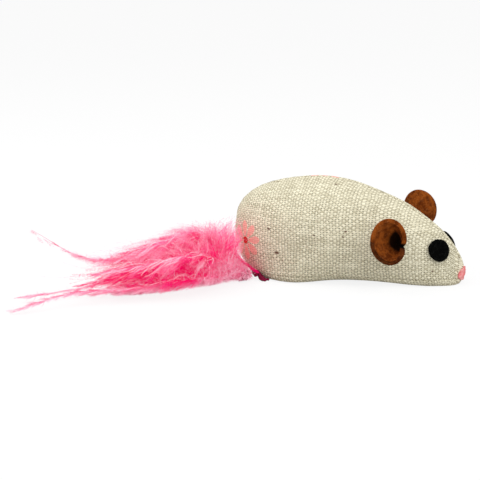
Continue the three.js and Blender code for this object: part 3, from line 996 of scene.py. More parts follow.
def ear_reach(angle):
    ahead = math.cos(angle) / ear_half_width
    up = math.sin(angle) / ear_half_height
    shift_ahead = ear_offset_back / ear_half_width
    shift_up = -ear_offset_up / ear_half_height
    a = ahead * ahead + up * up
    b = ahead * shift_ahead + up * shift_up
    c = shift_ahead * shift_ahead + shift_up * shift_up - 1
    edge = (-b + math.sqrt(b * b - a * c)) / a
    edge *= 1 - ear_trim * bell(angle, ear_trim_angle, ear_trim_spread)
    return edge * (1 - ear_pinch * ear_fold(angle))


def ear_point(share, angle):
    reach = ear_reach(angle) * share
    behind = (1 - math.cos(angle)) / 2
    depth = ear_front_depth + (ear_rear_depth - ear_front_depth) * behind
    depth *= 1 - ear_tuck * ear_fold(angle)
    floor = ear_felt - ear_root_radius / 2
    return Vector((reach * math.cos(angle), reach * math.sin(angle), floor + depth * share ** ear_cup))


def ear(name, node, place, height, side, hollow, fold=0, roll=0, size=1):
    seat, out = side_seat(place, height, -1)
    ahead = (Vector((1, 0, 0)) - out * out.x).normalized()
    up = out.cross(ahead)
    hinge = seat + out * (ear_clearance + ear_root_radius)
    frame_of_ear = Matrix((ahead, up, out)).transposed().to_4x4()
    set_back = Matrix.Rotation(-fold, 4, "Y") @ Matrix.Rotation(roll, 4, "Z") @ Matrix.Scale(size, 4)
    placed = Matrix.Translation(hinge) @ frame_of_ear @ set_back
    bm = bmesh.new()
    pit = bm.verts.layers.float.new("pit")
    disc(bm, ear_rings, ear_segments)
    for vert in bm.verts:
        vert.co = ear_point(vert.co.length, math.atan2(vert.co.y, vert.co.x))
        # Painted shade: the felt darkens near the middle of the hollow and below a depth in the cup
        off = math.hypot(vert.co.x - pit_ahead, vert.co.y - pit_up)
        dark = min(pit_radius - off, hollow - vert.co.z) / pit_fade
        vert[pit] = min(max(dark, 0), 1)
    bm.normal_update()
    if sum(face.normal.z * face.calc_area() for face in bm.faces) < 0:
        bmesh.ops.reverse_faces(bm, faces=bm.faces)
    bmesh.ops.transform(bm, matrix=placed, verts=bm.verts)
    piece = new_piece(name, bm, brown_felt)
    piece.data.materials.append(brown_rim_shade)
    cut_edge(piece, ear_felt, ear_edge)
    piece.modifiers["thickness"].material_offset_rim = 1
    finer = piece.modifiers.new("soft", "SUBSURF")
    finer.levels = finer.render_levels = 1
    bm = bmesh.new()
    bm.from_mesh(baked_shape(piece))
    piece.modifiers.clear()
    # Cut-edge faces above a slanting line take the plain felt; those below keep the darker brown, painted
    # shade
    for face in bm.faces:
        middle = face.calc_center_median() - hinge
        if middle.z + middle.x * rim_slant > rim_shade_limit:
            face.material_index = 0
    stub = bmesh.ops.create_uvsphere(
        bm, u_segments=20, v_segments=12, radius=ear_root_radius, matrix=Matrix.Translation(hinge)
    )["verts"]
    # The root stub is all painted shade, where the pinch goes into the head
    for vert in stub:
        vert[bm.verts.layers.float["pit"]] = 1
    if side > 0:
        bmesh.ops.transform(bm, matrix=Matrix.Scale(-1, 4, (0, 1, 0)), verts=bm.verts)
        bmesh.ops.reverse_faces(bm, faces=bm.faces)
    bm.to_mesh(piece.data)
    bm.free()
    piece.data.shade_smooth()
    fuzz = hairs(node + "_hair", piece, ear_hairs, hair_length, brown_hair, 31 + side)
    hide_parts(node)
    for part in (piece, fuzz):
        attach(part, node)


ear("right_ear_cup", "right_ear", ear_root_place, ear_root_height, -1, pit_depth)
ear(
    "left_ear_cup", "left_ear", ear_root_place + left_ear_ahead, ear_root_height + left_ear_rise, 1,
    left_pit_depth, left_ear_fold, left_ear_roll, left_ear_size,
)


# Knot and binding: maroon thread, knotted where the tail is caught in the seam and wound in
# close turns round the bunch of quills just behind it.
thread_dark = colour(92, 6, 38)
thread_bright = colour(168, 24, 78)
ply_relief = 0.08 * mm
thread_maroon, thread_shader, w = new_finish("maroon_thread", roughness=0.7)
place = w.node("ShaderNodeTexCoord", output="Object")
spun = {"Vector": place, "Scale": 900.0, "Distortion": 3.0}
twist = w.node("ShaderNodeTexWave", {"bands_direction": "DIAGONAL"}, spun)
link(twist.ramp(0.1, 0.9).mix(thread_dark, thread_bright), thread_shader, "Base Color")
link(twist.bump(0.6, ply_relief), thread_shader, "Normal")
tail_setback = 11.5 * mm
tail_turn = math.radians(38.5)
knot_radius = 1.7 * mm
knot_proud = 0.7 * mm
knot_thread = 0.42 * mm
knot_core = 0.62
knot_steps = 96
knot_turn = Matrix.Rotation(math.radians(23), 3, "Z")
tail_along = Vector((-math.cos(tail_turn), -math.sin(tail_turn), 0))
tail_near = Vector((math.sin(tail_turn), -math.cos(tail_turn), 0))
seam_place = tail_setback - body_length / 2
tail_root = Vector((seam_place, -side_width(seam_place, seam_height), seam_height)) + tail_along * knot_proud
end_count = 7
end_thread = 0.85 * knot_thread
end_length = 4.4 * mm
end_drop = seam_height - knot_thread
first_end = math.radians(-36)
last_end = math.radians(-10)
end_steps = 8


def tied_threads(name, paths, radius, closed):
    """A bmesh of round threads along lists of points."""
    curve = bpy.data.curves.new(name, "CURVE")
    curve.dimensions = "3D"
    curve.bevel_depth = radius
    curve.bevel_resolution = 3
    curve.use_fill_caps = not closed
    for path in paths:
        spline = curve.splines.new("POLY")
        spline.points.add(len(path) - 1)
        spline.use_cyclic_u = closed
        for point, place in zip(spline.points, path):
            point.co = (*place, 1)
    threads = bpy.data.objects.new(name, curve)
    scene.collection.objects.link(threads)
    bm = bmesh.new()
    bm.from_mesh(baked_shape(threads))
    bpy.data.objects.remove(threads)
    return bm


def knot_point(step):
    """A point of the overhand knot, a closed loop with three crossings."""
    t = 2 * math.pi * step / knot_steps
    across = math.sin(t) + 2 * math.sin(2 * t)
    ahead = math.cos(t) - 2 * math.cos(2 * t)
    bend = Vector((across, ahead, -1.5 * math.sin(3 * t)))
    bend.rotate(knot_turn)
    return tail_root + bend * (knot_radius - knot_thread) / 3


def end_point(end, step):
    """A point of one of the knot's cut ends, which fan out over the floor."""
    way = first_end + (last_end - first_end) * end / (end_count - 1)
    gone = step / (end_steps - 1)
    reach = end_length * (0.75 + 0.25 * math.sin(2.3 * end)) * gone
    sag = end_drop * min(gone * 1.5, 1) ** 1.5
    return tail_root + Vector((reach * math.cos(way), reach * math.sin(way), -sag))


knot_path = [knot_point(step) for step in range(knot_steps)]
bm = tied_threads("knot_loop", [knot_path], knot_thread, True)
bmesh.ops.create_icosphere(
    bm, subdivisions=3, radius=knot_radius * knot_core, matrix=Matrix.Translation(tail_root)
)
knot = new_piece("seam_knot", bm, thread_maroon)
end_paths = [[end_point(end, step) for step in range(end_steps)] for end in range(end_count)]
knot_ends = new_piece("knot_ends", tied_threads("thread_ends", end_paths, end_thread, False), thread_maroon)
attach(knot_ends, "mouse")
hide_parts("tail_knot")
knot_inside = tail_root - tail_along * knot_radius
knot_outside = tail_root + tail_along * knot_radius
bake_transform(knot, "mouse", "tail_root", start=knot_inside, end=knot_outside)

quill_pitch = 1 * mm
quill_radius = 0.33 * mm
binding_start = 3.3 * mm
binding_length = 2.8 * mm
binding_thread = 0.17 * mm
binding_gap = 0.3 * mm
binding_turns = 8
turn_steps = 28
coil_radius = quill_pitch + quill_radius + binding_gap + binding_thread
bm = bmesh.new()
ring = bmesh.ops.create_circle(
    bm, segments=8, radius=binding_thread,
    matrix=Matrix.Translation((coil_radius, 0, 0)) @ Matrix.Rotation(math.pi / 2, 4, "X"),
)["verts"]
steps = binding_turns * turn_steps
rise = (binding_length - 2 * binding_thread) / steps
bmesh.ops.spin(
    bm, geom=[*ring, *bm.edges], axis=(0, 0, 1), cent=(0, 0, 0), dvec=(0, 0, rise),
    angle=2 * math.pi * binding_turns, steps=steps,
)
bmesh.ops.holes_fill(bm, edges=[edge for edge in bm.edges if edge.is_boundary], sides=8)
bmesh.ops.recalc_face_normals(bm, faces=bm.faces)
wound = Matrix((tail_near, Vector((0, 0, 1)), tail_along)).transposed().to_4x4()
start = tail_root + tail_along * (binding_start + binding_thread)
bmesh.ops.transform(bm, matrix=Matrix.Translation(start) @ wound, verts=bm.verts)
binding = new_piece("quill_binding", bm, thread_maroon)
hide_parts("tail_binding")
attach(binding, "tail")


# Tail: dyed pink down feathers, tied by their quills in one bunch. Each quill carries soft
# barbs down both sides, every barb is fringed with fine barbules, and the ends run out in wisps.
# A point's place on the map of a feather's colours is its barb's tint and how far out it lies.
# The darkest of these colours is the colour of painted shade
down_shadow = colour(176, 4, 84)
down_deep = colour(250, 4, 122)
down_rich = colour(250, 84, 158)
down_mid = colour(251, 154, 190)
down_pale = colour(255, 228, 238)
down_tip = colour(255, 236, 243)
quill_pink = colour(250, 182, 204)
# Painted light: the down glows a little, deeper pink in its heart and paler at its edges, for the light that
# scatters through it
deep_glow = colour(255, 0, 146)
pale_glow = colour(225, 60, 124)
glow_share = 0.15
pink_down, down_shader, w = new_finish("pink_down", roughness=0.8)
tint, outwards, _ = w.node("ShaderNodeUVMap", {"uv_map": "OFBake"}).parts()
dye_and_shade = tint.shades([(0.0, down_shadow), (0.08, down_deep), (0.3, down_rich), (0.6, down_mid), (0.9, down_pale)])
faded = (outwards.ramp(0.3, 1.0) * tint.ramp(0.05, 0.55) * 0.5).mix(dye_and_shade, down_tip)
link(tint.ramp(0.92, 0.94).mix(faded, quill_pink), down_shader, "Base Color")
link(tint.ramp(0.1, 0.6).mix(deep_glow, pale_glow), down_shader, "Emission Color")
down_shader.inputs["Emission Strength"].default_value = glow_share

quill_tip = 0.05 * mm
quill_taper = 0.7
quill_tint = 0.97
quill_sides = 8
vane_start = -0.1
vane_full = 0.196
line_steps = 240
barb_steps = 9
barb_root_width = 0.05 * mm
barb_tip_width = 0.012 * mm
barb_crowding = 1.15
barbule_gap = 0.3 * mm
barbule_length = 0.9 * mm
barbule_width = 0.045 * mm
cloth_gap = 0.7 * mm
floor_gap = 0.12 * mm
# Barbs lean out from the quill by these angles, in degrees. They cling together in locks, apart from
# the loose ones, mostly at the foot, and a few strong, pale ones.
barb_angle = 60
barb_closing = 22
lock_angle = 12
stray_angle = 9
lock_tilt = 22
stray_tilt = 20
loose_angles = (45, 110)
loose_tilts = (-85, 85)
lock_count = 36
lock_reach = 0.2
barb_reaches = (0.55, 1.15)
barb_bend = 0.5
lock_bend = 0.1
stray_bend = 0.12
clumping = 0.6
clump_growth = 1.3
loose_at_foot = 0.45
loose_loss = 0.35
loose_until = 0.6
strong_share = 0.05
strong_reach = 1.25
strong_tilt = 0.3
strong_width = 3.0
strong_slack = 1.0 * mm
lock_slack = 0.7 * mm
stray_slack = 0.4 * mm
strong_tint = 0.88
# A thin place low down near the foot, where light shows through
gap_place = 10 * mm
gap_half_length = 3.6 * mm
gap_height = 6.5 * mm
gap_share = 0.2
# The plume's outline, in mm: its top by distance along the tail, how far along it begins by height,
# since it leaves the rump bare lower down, and how far it spreads on the floor by distance along it
roof_line = [
    (0, 21), (8, 20.8), (16, 20), (22, 19.2), (26, 17), (30, 16), (34, 15.4), (38, 14.6),
    (44, 14.2), (48, 13), (52, 12.2), (56, 13), (60, 14.6), (64, 16.6), (72, 23), (90, 26),
]
foot_line = [(0, 0.5), (2.7, 1.6), (5, 3.5), (7.5, 5.5), (10, 5), (13, 3.6), (18, 3)]
near_line = [(0, -0.5), (8, -1), (16, 0.7), (24, 2.2), (36, 3.2), (44, 1.2), (52, 0.5), (60, 2), (90, 8)]
roof_lean = 0.2
foot_lean = 0.43
near_rise = 3.7
foot_slack = 1.3
soft_edge = 1.0 * mm
shortenings = 8
shortening = 0.8
# Painted shade: deeper tints in the plume's recess and by the rump, by middle along the tail and up, in mm,
# spread along and up, and depth
shaded_patches = [(32, 6.8, 14, 2.9, 0.82), (7, 11.5, 5, 3.5, 0.28), (19, 12.5, 9, 3.5, 0.2)]
# Where the tint gets deeper or paler by degrees: from and to, in mm along the tail or up from the floor. The
# paler fringe, root and wisp are painted light
strand_along = (50, 62)
strand_up = (4, 7)
fringe_up = (2.2, 5.2)
under_root_along = (15, 26)
under_root_up = (7.5, 11.5)
wisp_along = (38, 50)
wisp_up = (7, 11)
plain_tint = 0.56
strand_depth = 0.3
fringe_fade = 0.5
under_root_fade = 0.42
wisp_fade = 0.5
lock_tone_share = 0.2
stray_tone_share = 0.1
deepest_tint = 0.09
palest_tint = 0.86
# In the frame of the tail: along it, to its near side and up from the floor, in mm
feathers = [
    {
        "node": "crest_feather", "seat": 90,
        "path": [(11, 0, 10.6), (20, 0, 16.2), (31, 0.5, 15), (46, 1, 10.5)],
        "bare": 9, "half": 7.4, "lean": 0, "cup": 0.26, "fade": (0.5, 1), "thin": 0.13, "barbs": 2300,
    },
    {
        "node": "upper_near_feather", "seat": 30,
        "path": [(12, 3.6, 7.6), (22, 6.6, 11.8), (36, 6.6, 10.4), (54, 5.4, 8.4)],
        "bare": 8, "half": 6.2, "lean": -20, "cup": 0.1, "fade": (0.45, 1), "thin": 0.13, "barbs": 2300,
    },
    {
        "node": "upper_far_feather", "seat": 150,
        "path": [(12, -3.6, 7.6), (22, -6.6, 11.8), (38, -5.6, 9.8), (54, -3.8, 11.6), (70, -3, 22)],
        "bare": 8, "half": 6.2, "lean": 20, "cup": 0.1, "fade": (0.3, 0.98), "thin": 0.09, "barbs": 2100,
    },
    {
        "node": "middle_feather", "seat": None,
        "path": [(12, 0, 4.8), (22, 0, 8.2), (38, 0.4, 6.8), (58, 1.2, 4.4)],
        "bare": 7.5, "half": 7.6, "lean": 0, "cup": 0.12, "fade": (0.45, 0.95), "thin": 0.13, "barbs": 2000,
    },
    {
        "node": "lower_near_feather", "seat": -30,
        "path": [(12, 4, 3), (22, 8, 4.6), (40, 8.4, 3.8), (60, 6.2, 3.6), (70, 7.4, 2.5), (79, 9.6, 0.9)],
        "bare": 7, "half": 7.2, "lean": -6, "cup": 0.12, "fade": (0.2, 0.8), "thin": 0.24, "barbs": 2200,
    },
    {
        "node": "lower_far_feather", "seat": 210,
        "path": [(12, -4, 3), (22, -8, 4.6), (40, -7, 3.8), (57, -3, 2.3), (73, -1.8, 1.9)],
        "bare": 7, "half": 7.2, "lean": 6, "cup": 0.12, "fade": (0.2, 0.8), "thin": 0.24, "barbs": 2000,
    },
    {
        "node": "ground_feather", "seat": -90,
        "path": [(12, 0.2, 1.2), (24, 0.8, 1.8), (38, 1.4, 1.7), (54, 2, 1.4)],
        "bare": 7, "half": 8.4, "lean": 0, "cup": 0.02, "fade": (0.45, 0.95), "thin": 0.13, "barbs": 1800,
    },
]


root_spot = np.array(tail_root)
along_way = np.array(tail_along)
near_way = np.array(tail_near)
map_step = 0.006


def tail_point(along, near, height):
    flat = tail_root + tail_along * along + tail_near * near
    return (flat.x, flat.y, height)


def tail_place(points):
    """How far points lie along the tail and to its near side."""
    flat = points - root_spot
    return flat @ along_way, flat @ near_way


def map_inset(shares):
    """Shares of a length as places on the map of colours, clear of its edge."""
    return shares * 0.96 + 0.02


def unit(vectors):
    return vectors / np.maximum(np.linalg.norm(vectors, axis=-1, keepdims=True), 1e-12)


def smoothstep(value, low, high):
    share = np.clip((value - low) / (high - low), 0, 1)
    return share * share * (3 - 2 * share)


def smooth_line(knots, steps):
    """Points evenly spaced on a smooth curve through the knots, and its length."""
    knots = np.array(knots)
    knots = np.concatenate([[2 * knots[0] - knots[1]], knots, [2 * knots[-1] - knots[-2]]])
    times = np.concatenate([[0], np.cumsum(np.sqrt(np.linalg.norm(np.diff(knots, axis=0), axis=1)))])
    points = []
    for k in range(1, len(knots) - 2):
        p = knots[k - 1:k + 3]
        t = times[k - 1:k + 3]
        now = np.linspace(t[1], t[2], 60)[:, None]

        def between(a, b, i, j):
            return (a * (t[j] - now) + b * (now - t[i])) / (t[j] - t[i])

        first, middle, last = (between(p[i], p[i + 1], i, i + 1) for i in range(3))
        points.append(between(between(first, middle, 0, 2), between(middle, last, 1, 3), 1, 2))
    dense = np.concatenate(points)
    run = np.concatenate([[0], np.cumsum(np.linalg.norm(np.diff(dense, axis=0), axis=1))])
    even = np.linspace(0, run[-1], steps)
    return np.stack([np.interp(even, run, dense[:, i]) for i in range(3)], 1), run[-1]


def strands(lines, widths, tints, outs, sides):
    """Tapered strands along lines: flat ribbons with 2 sides, tubes with more."""
    count, steps, _ = lines.shape
    tangent = unit(np.gradient(lines, axis=1))
    aside = unit(np.cross(tangent, np.array([0.31, 0.17, 0.94])))
    other = np.cross(tangent, aside)
    corners = []
    spots = []
    for k in range(sides):
        turn = 2 * math.pi * k / sides
        round_it = aside * math.cos(turn) + other * math.sin(turn)
        corners.append(lines + round_it * widths[..., None])
        spots.append(np.stack([tints + map_step * (k - 0.5 * sides + 0.5) + 0 * outs, outs], -1))
    corners = np.stack(corners, 2).reshape(-1, 3)
    spots = np.stack(spots, 2).reshape(-1, 2)
    index = np.arange(count * steps * sides).reshape(count, steps, sides)
    a = index[:, :-1]
    b = index[:, 1:]
    c = np.roll(b, -1, axis=2)
    d = np.roll(a, -1, axis=2)
    quads = np.stack([a, d, c, b], -1)
    quads = (quads[:, :, :1] if sides == 2 else quads).reshape(-1, 4)
    faces = np.concatenate([quads[:, [0, 1, 2]], quads[:, [0, 2, 3]]])
    return corners, faces, spots


body_x = np.linspace(-body_length / 2, body_length / 2, 150)
body_z = np.linspace(0, crown_height, 70)
width_map = np.full((len(body_x), len(body_z)), -1.0)
for column, x in enumerate(body_x):
    _, top, _, bottom = body_section(x + body_length / 2)
    for row, z in enumerate(body_z):
        if bottom < z < top:
            width_map[column, row] = side_width(x, z)


def in_cloth(points, sway):
    """Whether points lie in the body, or nearly, once the tail has swayed by an angle."""
    pivot = np.array(tail_root - tail_along * knot_proud)
    turned = points - pivot
    x = turned[..., 0] * math.cos(sway) - turned[..., 1] * math.sin(sway) + pivot[0]
    y = turned[..., 0] * math.sin(sway) + turned[..., 1] * math.cos(sway) + pivot[1]
    column = np.round((x + cloth_gap - body_x[0]) / (body_x[1] - body_x[0])).astype(int)
    row = np.round(points[..., 2] / (body_z[1] - body_z[0])).astype(int)
    width = width_map[np.clip(column, 0, len(body_x) - 1), np.clip(row, 0, len(body_z) - 1)]
    return (width > 0) & (np.abs(y) < width + cloth_gap) & (x > body_x[0] - cloth_gap)


def plume_edges(lines, slack):
    """Where barbs' points lie along the tail and aside, and the plume's top and near edge there."""
    along, near = tail_place(lines)
    roof = np.interp(along / mm, *zip(*roof_line)) * mm + roof_lean * near + slack[:, None]
    edge = np.interp(along / mm, *zip(*near_line)) * mm + near_rise * lines[..., 2] + slack[:, None]
    return along, near, roof, edge


def past_plume(lines, slack):
    """Whether barbs that start inside the plume's outline run out of it."""
    along, near, roof, edge = plume_edges(lines, slack)
    foot = np.interp(lines[..., 2] / mm, *zip(*foot_line)) * mm + foot_lean * near
    foot = foot - foot_slack * slack[:, None]
    out = (lines[..., 2] > roof) | (near > edge) | (along < foot)
    return out.any(1) & ~out[:, 0]


def within_plume(lines, slack):
    """Draws barbs in to the plume's outline, so that only their last hairs stand past it."""
    _, _, roof, _ = plume_edges(lines, slack)
    over = lines[..., 2] - roof
    lines[..., 2] = np.where(over > 0, roof + soft_edge * np.tanh(over / soft_edge), lines[..., 2])
    lines[..., 2] = np.maximum(lines[..., 2], floor_gap)
    _, near, _, edge = plume_edges(lines, slack)
    pull = np.where(near > edge, edge + soft_edge * np.tanh((near - edge) / soft_edge) - near, 0)
    lines += near_way * pull[..., None]


def fitted(begin, offsets, slack, sways):
    """Barbs shortened to clear the cloth at some sways and to keep to the plume's outline, how
    much shorter they are, and which of them still meet the cloth."""
    shrink = np.ones(len(begin))
    for _ in range(shortenings):
        lines = begin[:, None] + offsets * shrink[:, None, None]
        hits = np.any([in_cloth(lines, sway).any(1) for sway in sways], axis=0)
        shrink = np.where(hits | past_plume(lines, slack), shrink * shortening, shrink)
    within_plume(lines, slack)
    return lines, shrink, hits


def barb_lines(begin, forward, aside, angle, bend, size, droop, draw):
    """Lines that leave a quill at an angle, bend towards its tip, sag and wave a little."""
    count = len(begin)
    places = [np.zeros((count, 3))]
    for step in range(1, barb_steps):
        now = angle * (1 - bend * (step - 0.5) / (barb_steps - 1))
        move = forward * np.cos(now)[:, None] + aside * np.sin(now)[:, None]
        places.append(places[-1] + move * (size / (barb_steps - 1))[:, None])
    offsets = np.stack(places, 1)
    q = np.linspace(0, 1, barb_steps)
    over = np.cross(forward, aside)
    phase = draw.uniform(0, 2 * math.pi, (count, 2, 1))
    swing = draw.uniform(0.015, 0.07, (count, 2, 1)) * size[:, None, None] * q
    waves = swing * np.sin(2 * math.pi * q * draw.uniform(0.6, 1.6, (count, 2, 1)) + phase)
    offsets += over[:, None] * waves[:, 0, :, None] + aside[:, None] * waves[:, 1, :, None]
    offsets[..., 2] -= droop[:, None] * q * q
    return offsets


def dye_light_and_shade(lines, lock_tone, draw):
    """Tints of barbs: deeper in the heart of the plume and by the rump as painted shade, paler at the
    fringe, under the root and in the wisp as painted light, deeper along the low strands at the far end, and
    varied at random by lock and by barb.
    """
    middle = lines[:, barb_steps // 2]
    along = tail_place(middle)[0] / mm
    height = middle[:, 2] / mm
    deep = sum(
        depth * np.exp(-((along - place) / length) ** 2 - ((height - rise) / spread) ** 2)
        for place, rise, length, spread, depth in shaded_patches
    )
    strand = smoothstep(along, *strand_along) * (1 - smoothstep(height, *strand_up))
    fringe = 1 - smoothstep(height, *fringe_up)
    under_root = (1 - smoothstep(along, *under_root_along)) * (1 - smoothstep(height, *under_root_up))
    wisp = smoothstep(along, *wisp_along) * smoothstep(height, *wisp_up)
    tint = plain_tint - (deep + strand_depth * strand) + fringe_fade * fringe
    tint = tint + under_root_fade * under_root + wisp_fade * wisp
    tone = lock_tone_share * lock_tone
    stray_tone = stray_tone_share * draw.normal(0, 1, len(lines))
    return np.clip(tint + tone + stray_tone, deepest_tint, palest_tint)


def airy(lines, draw):
    """Which barbs stay in the thin place near the plume's foot, and all those outside it."""
    middle = lines[:, barb_steps // 2]
    along = tail_place(middle)[0]
    in_gap = (abs(along - gap_place) < gap_half_length) & (middle[:, 2] < gap_height)
    return ~in_gap | (draw.random(len(lines)) < gap_share)


def dressed_barbs(keep, lines, size, full, tints, strong, draw):
    """The barbs that are kept, along lines and with barbules on both sides, as parts of a mesh."""
    lines, size, full, tints, strong = (of_all[keep] for of_all in (lines, size, full, tints, strong))
    count = len(lines)
    q = np.linspace(0, 1, barb_steps)
    widths = (barb_root_width + (barb_tip_width - barb_root_width) * q)[None]
    widths = widths * np.where(strong, strong_width, 1.0)[:, None]
    outs = np.broadcast_to(map_inset(q), (count, barb_steps))
    parts = [strands(lines, widths, tints[:, None], outs, 2)]
    fringe = np.maximum((size / barbule_gap).astype(int), 3)
    which = np.repeat(np.arange(count), fringe)
    q_at = draw.uniform(0.04, 1, len(which))
    low = np.minimum((q_at * (barb_steps - 1)).astype(int), barb_steps - 2)
    part = (q_at * (barb_steps - 1) - low)[:, None]
    foot = lines[which, low] * (1 - part) + lines[which, low + 1] * part
    along = unit(lines[which, low + 1] - lines[which, low])
    out = unit(np.cross(along, draw.normal(0, 1, (len(which), 3))))
    reach = barbule_length * draw.uniform(0.45, 1.1, len(which)) * (1.1 - 0.6 * q_at)
    reach = reach * (0.4 + 0.6 * full[which])
    for flip in (-1, 1):
        way = unit(along * draw.uniform(0.5, 1.1, (len(which), 1)) + flip * out)
        tip = foot + way * reach[:, None]
        tip[:, 2] = np.maximum(tip[:, 2], floor_gap)
        half = along * barbule_width / 2
        corners = np.stack([foot - half, foot + half, tip], 1)
        tone = np.clip(tints[which] + draw.normal(0, 0.03, len(which)), 0.01, 0.88)
        out_at = q_at * 0.9 + 0.03
        spots = np.stack([
            np.stack([tone - map_step, out_at], -1),
            np.stack([tone + map_step, out_at], -1),
            np.stack([tone, out_at + 0.05], -1),
        ], 1)
        faces = np.arange(len(which) * 3).reshape(-1, 3)
        parts.append((corners.reshape(-1, 3), faces, spots.reshape(-1, 2)))
    return parts


def down_piece(name, parts):
    """One object from parts of a mesh, with its map of colours."""
    shift = np.cumsum([0] + [len(corners) for corners, _, _ in parts])
    corners = np.concatenate([corners for corners, _, _ in parts])
    faces = np.concatenate([faces + offset for (_, faces, _), offset in zip(parts, shift)])
    spots = np.concatenate([spots for _, _, spots in parts])
    mesh = bpy.data.meshes.new(name)
    mesh.from_pydata(corners.tolist(), [], faces.tolist())
    colour_map = mesh.uv_layers.new(name="OFBake")
    colour_map.uv.foreach_set("vector", spots[faces.ravel()].astype(np.float32).ravel())
    mesh.shade_smooth()
    mesh.materials.append(pink_down)
    piece = bpy.data.objects.new(name, mesh)
    scene.collection.objects.link(piece)
    return piece


def quill_line(feather):
    seat = math.radians(feather["seat"] or 0)
    pitch = 0 if feather["seat"] is None else quill_pitch
    near = pitch * math.cos(seat)
    height = seam_height + pitch * math.sin(seat)
    binding_end = binding_start + binding_length
    straight = [knot_radius + binding_gap, binding_start, binding_end, binding_end + quill_pitch]
    knots = [tail_point(place, near, height) for place in straight]
    knots += [tail_point(*(value * mm for value in place)) for place in feather["path"]]
    line, length = smooth_line(knots, line_steps)
    tangent = unit(np.gradient(line, axis=0))
    level = unit(near_way - tangent * (tangent @ near_way)[:, None])
    lean = math.radians(feather["lean"])
    side = level * math.cos(lean) + np.cross(tangent, level) * math.sin(lean)
    return line, length, tangent, side, np.cross(tangent, side)


def feather_piece(feather, seed):
    draw = np.random.default_rng(seed)
    line, length, tangent, side, up = quill_line(feather)
    shares = np.linspace(0, 1, line_steps)
    quill_widths = (quill_radius + (quill_tip - quill_radius) * shares ** quill_taper)[None]
    tints = np.full((1, 1), quill_tint)
    parts = [strands(line[None], quill_widths, tints, map_inset(shares[None]), quill_sides)]

    start = (feather["bare"] * mm - knot_radius) / length
    count = feather["barbs"]
    root = start + (1 - start) * np.sort(draw.random(count)) ** barb_crowding
    vane = (root - start) / (1 - start)
    full = smoothstep(vane, vane_start, vane_full) * (1 - smoothstep(vane, *feather["fade"]))
    sign = draw.choice([-1.0, 1.0], count)
    lock = np.floor(root * lock_count).astype(int) * 2 + (sign > 0)
    shared = draw.normal(0, 1, (lock.max() + 1, 4))[lock]
    loose = draw.random(count) < loose_at_foot - loose_loss * smoothstep(vane, 0, loose_until)
    reach = feather["half"] * mm * np.maximum(full, feather["thin"])
    reach = reach * draw.uniform(*barb_reaches, count) * (1 + lock_reach * shared[:, 3])
    lean = barb_angle - barb_closing * vane + lock_angle * shared[:, 0]
    angle = np.radians(lean + draw.normal(0, stray_angle, count))
    angle = np.where(loose, np.radians(draw.uniform(*loose_angles, count)), angle)
    bend = barb_bend + lock_bend * shared[:, 1] + draw.normal(0, stray_bend, count)
    tilt = np.radians(lock_tilt * shared[:, 2] + draw.normal(0, stray_tilt, count)) * (0.35 + 0.65 * full)
    tilt = np.where(loose, np.radians(draw.uniform(*loose_tilts, count)), tilt)
    strong = (draw.random(count) < strong_share) & (full > 0.3)
    tilt = np.where(strong, np.abs(tilt) + strong_tilt, tilt)
    reach = np.where(strong, reach * strong_reach, reach)
    size = reach / np.sin(np.clip(angle * (1 - bend / 2), 0.3, 1.2))
    at = np.clip(np.round(root * (line_steps - 1)).astype(int), 0, line_steps - 1)
    aside = side[at] * (sign * np.cos(tilt))[:, None] + up[at] * np.sin(tilt)[:, None]
    droop = feather["cup"] * 1.2 * reach * full
    offsets = barb_lines(line[at], tangent[at], aside, angle, bend, size, droop, draw)
    clumped = line[at][:, None] + offsets
    sums = np.zeros((lock.max() + 1, barb_steps, 3))
    np.add.at(sums, lock, clumped)
    middles = sums / np.maximum(np.bincount(lock, minlength=len(sums)), 1)[:, None, None]
    pull = np.where(loose | strong, 0, clumping)[:, None] * np.linspace(0, 1, barb_steps) ** clump_growth
    offsets += (middles[lock] - clumped) * pull[..., None]
    slack = lock_slack * shared[:, 3] + stray_slack * draw.normal(0, 1, count) + strong_slack * strong
    lines, shrink, hits = fitted(line[at], offsets, slack, (0, *tail_sway))
    keep = ~hits & (draw.random(count) < np.maximum(full, 0.05) / 0.25 + feather["thin"] * 4)
    keep &= airy(lines, draw)
    tints = np.where(strong, strong_tint, dye_light_and_shade(lines, shared[:, 0], draw))
    parts += dressed_barbs(keep, lines, size * shrink, full, tints, strong, draw)
    piece = down_piece(feather["node"].replace("_feather", "_plume"), parts)
    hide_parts(feather["node"])
    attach(piece, "tail")


sway_joint = next(joint for joint in frame["joints"] if joint["name"] == "tail_sway")
tail_sway = [math.radians(limit) for limit in sway_joint["range_deg"]]
for seed, feather in enumerate(feathers):
    feather_piece(feather, 100 + seed)


# Root down: the loosest, longest fluff grows at the foot of the feathers. It fills the corner
# between them and the rump and hides the binding, and it gives way as the tail swings.
root_barbs = 4600
root_start = 2.0 * mm
root_end = 19 * mm
root_crowding = 1.4
root_reach = 11 * mm
root_low = 4 * mm
root_strong_share = 0.02
root_uplift = np.array([0, 0, 0.4])
root_bend = 0.25
root_bend_spread = 0.2
root_sizes = (0.3, 1)
root_droop = 0.1
root_slack = 0.6 * mm
corner_share = 0.7
corner = np.array(tail_point(6.5 * mm, -4.5 * mm, 14.6 * mm))
corner_spread = 3 * mm
corner_angles = (5, 35)
corner_sizes = (0.6, 1.1)
fluff_angles = (55, 150)
draw = np.random.default_rng(77)
quills = [quill_line(feather) for feather in feathers]
which = draw.integers(0, len(quills), root_barbs)
runs = root_start + (root_end - root_start) * draw.random(root_barbs) ** root_crowding
at = [round(run / quills[k][1] * (line_steps - 1)) for k, run in zip(which, runs)]
begin = np.array([quills[k][0][spot] for k, spot in zip(which, at)])
forward = np.array([quills[k][2][spot] for k, spot in zip(which, at)])
to_corner = (draw.random(root_barbs) < corner_share) & (begin[:, 2] > root_low)
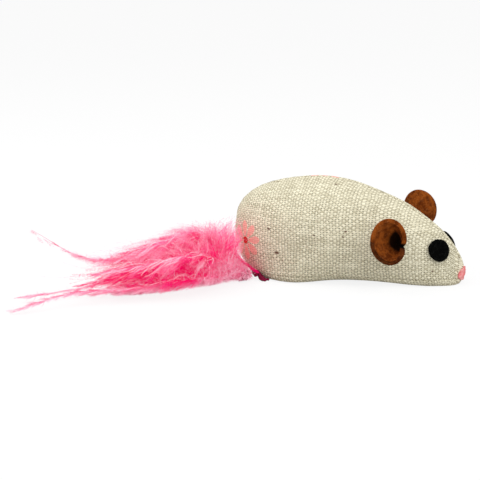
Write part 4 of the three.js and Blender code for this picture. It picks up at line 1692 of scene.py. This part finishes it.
way = corner + draw.normal(0, 1, (root_barbs, 3)) * corner_spread - begin
forward = np.where(to_corner[:, None], unit(way), forward)
aside = unit(unit(np.cross(forward, draw.normal(0, 1, (root_barbs, 3)))) + root_uplift)
to_angle = draw.uniform(*corner_angles, root_barbs)
angle = np.radians(np.where(to_corner, to_angle, draw.uniform(*fluff_angles, root_barbs)))
bend = draw.normal(root_bend, root_bend_spread, root_barbs)
size = root_reach * draw.uniform(*root_sizes, root_barbs)
corner_size = np.linalg.norm(way, axis=1) * draw.uniform(*corner_sizes, root_barbs)
size = np.where(to_corner, corner_size, size)
offsets = barb_lines(begin, forward, aside, angle, bend, size, size * root_droop, draw)
slack = draw.normal(0, root_slack, root_barbs)
lines, shrink, hits = fitted(begin, offsets, slack, [0])
tints = dye_light_and_shade(lines, draw.normal(0, 1, root_barbs), draw)
strong = draw.random(root_barbs) < root_strong_share
barbs = (lines, size * shrink, np.ones(root_barbs), tints, strong, draw)
fluff_parts = dressed_barbs(~hits & ~to_corner & airy(lines, draw), *barbs)
corner_parts = dressed_barbs(~hits & to_corner, *barbs)

# One lock of barbs lies against the rump, tinted deep as painted shade where the fluff meets the rump
lock_barbs = 130
lock_knots = [(-0.4, 1.9, 2.6), (1.9, 2.0, 4.3), (5.0, 3.4, 7.1), (7.7, 1.8, 10.1), (9.0, 1.2, 12)]
lock_spread = 0.45 * mm
rump_shade_tints = (0.0, 0.14)
lock_points = [tail_point(*(value * mm for value in knot)) for knot in lock_knots]
lock_line, lock_length = smooth_line(lock_points, barb_steps)
fan = draw.normal(0, lock_spread, (lock_barbs, 1, 3)) * np.linspace(0.5, 1.2, barb_steps)[:, None]
lines = lock_line + fan
lines[..., 2] = np.maximum(lines[..., 2], floor_gap)
keep = ~in_cloth(lines, 0).any(1)
size = np.full(lock_barbs, lock_length)
tints = draw.uniform(*rump_shade_tints, lock_barbs)
full = np.full(lock_barbs, 0.5)
strong = np.zeros(lock_barbs, bool)
corner_parts += dressed_barbs(keep, lines, size, full, tints, strong, draw)
blend_start = tail_root + tail_along * 2 * mm
blend_end = tail_root + tail_along * 14 * mm
for piece in (down_piece("root_down", fluff_parts), down_piece("corner_down", corner_parts)):
    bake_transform(piece, "mouse", "tail_root", start=blend_start, end=blend_end)
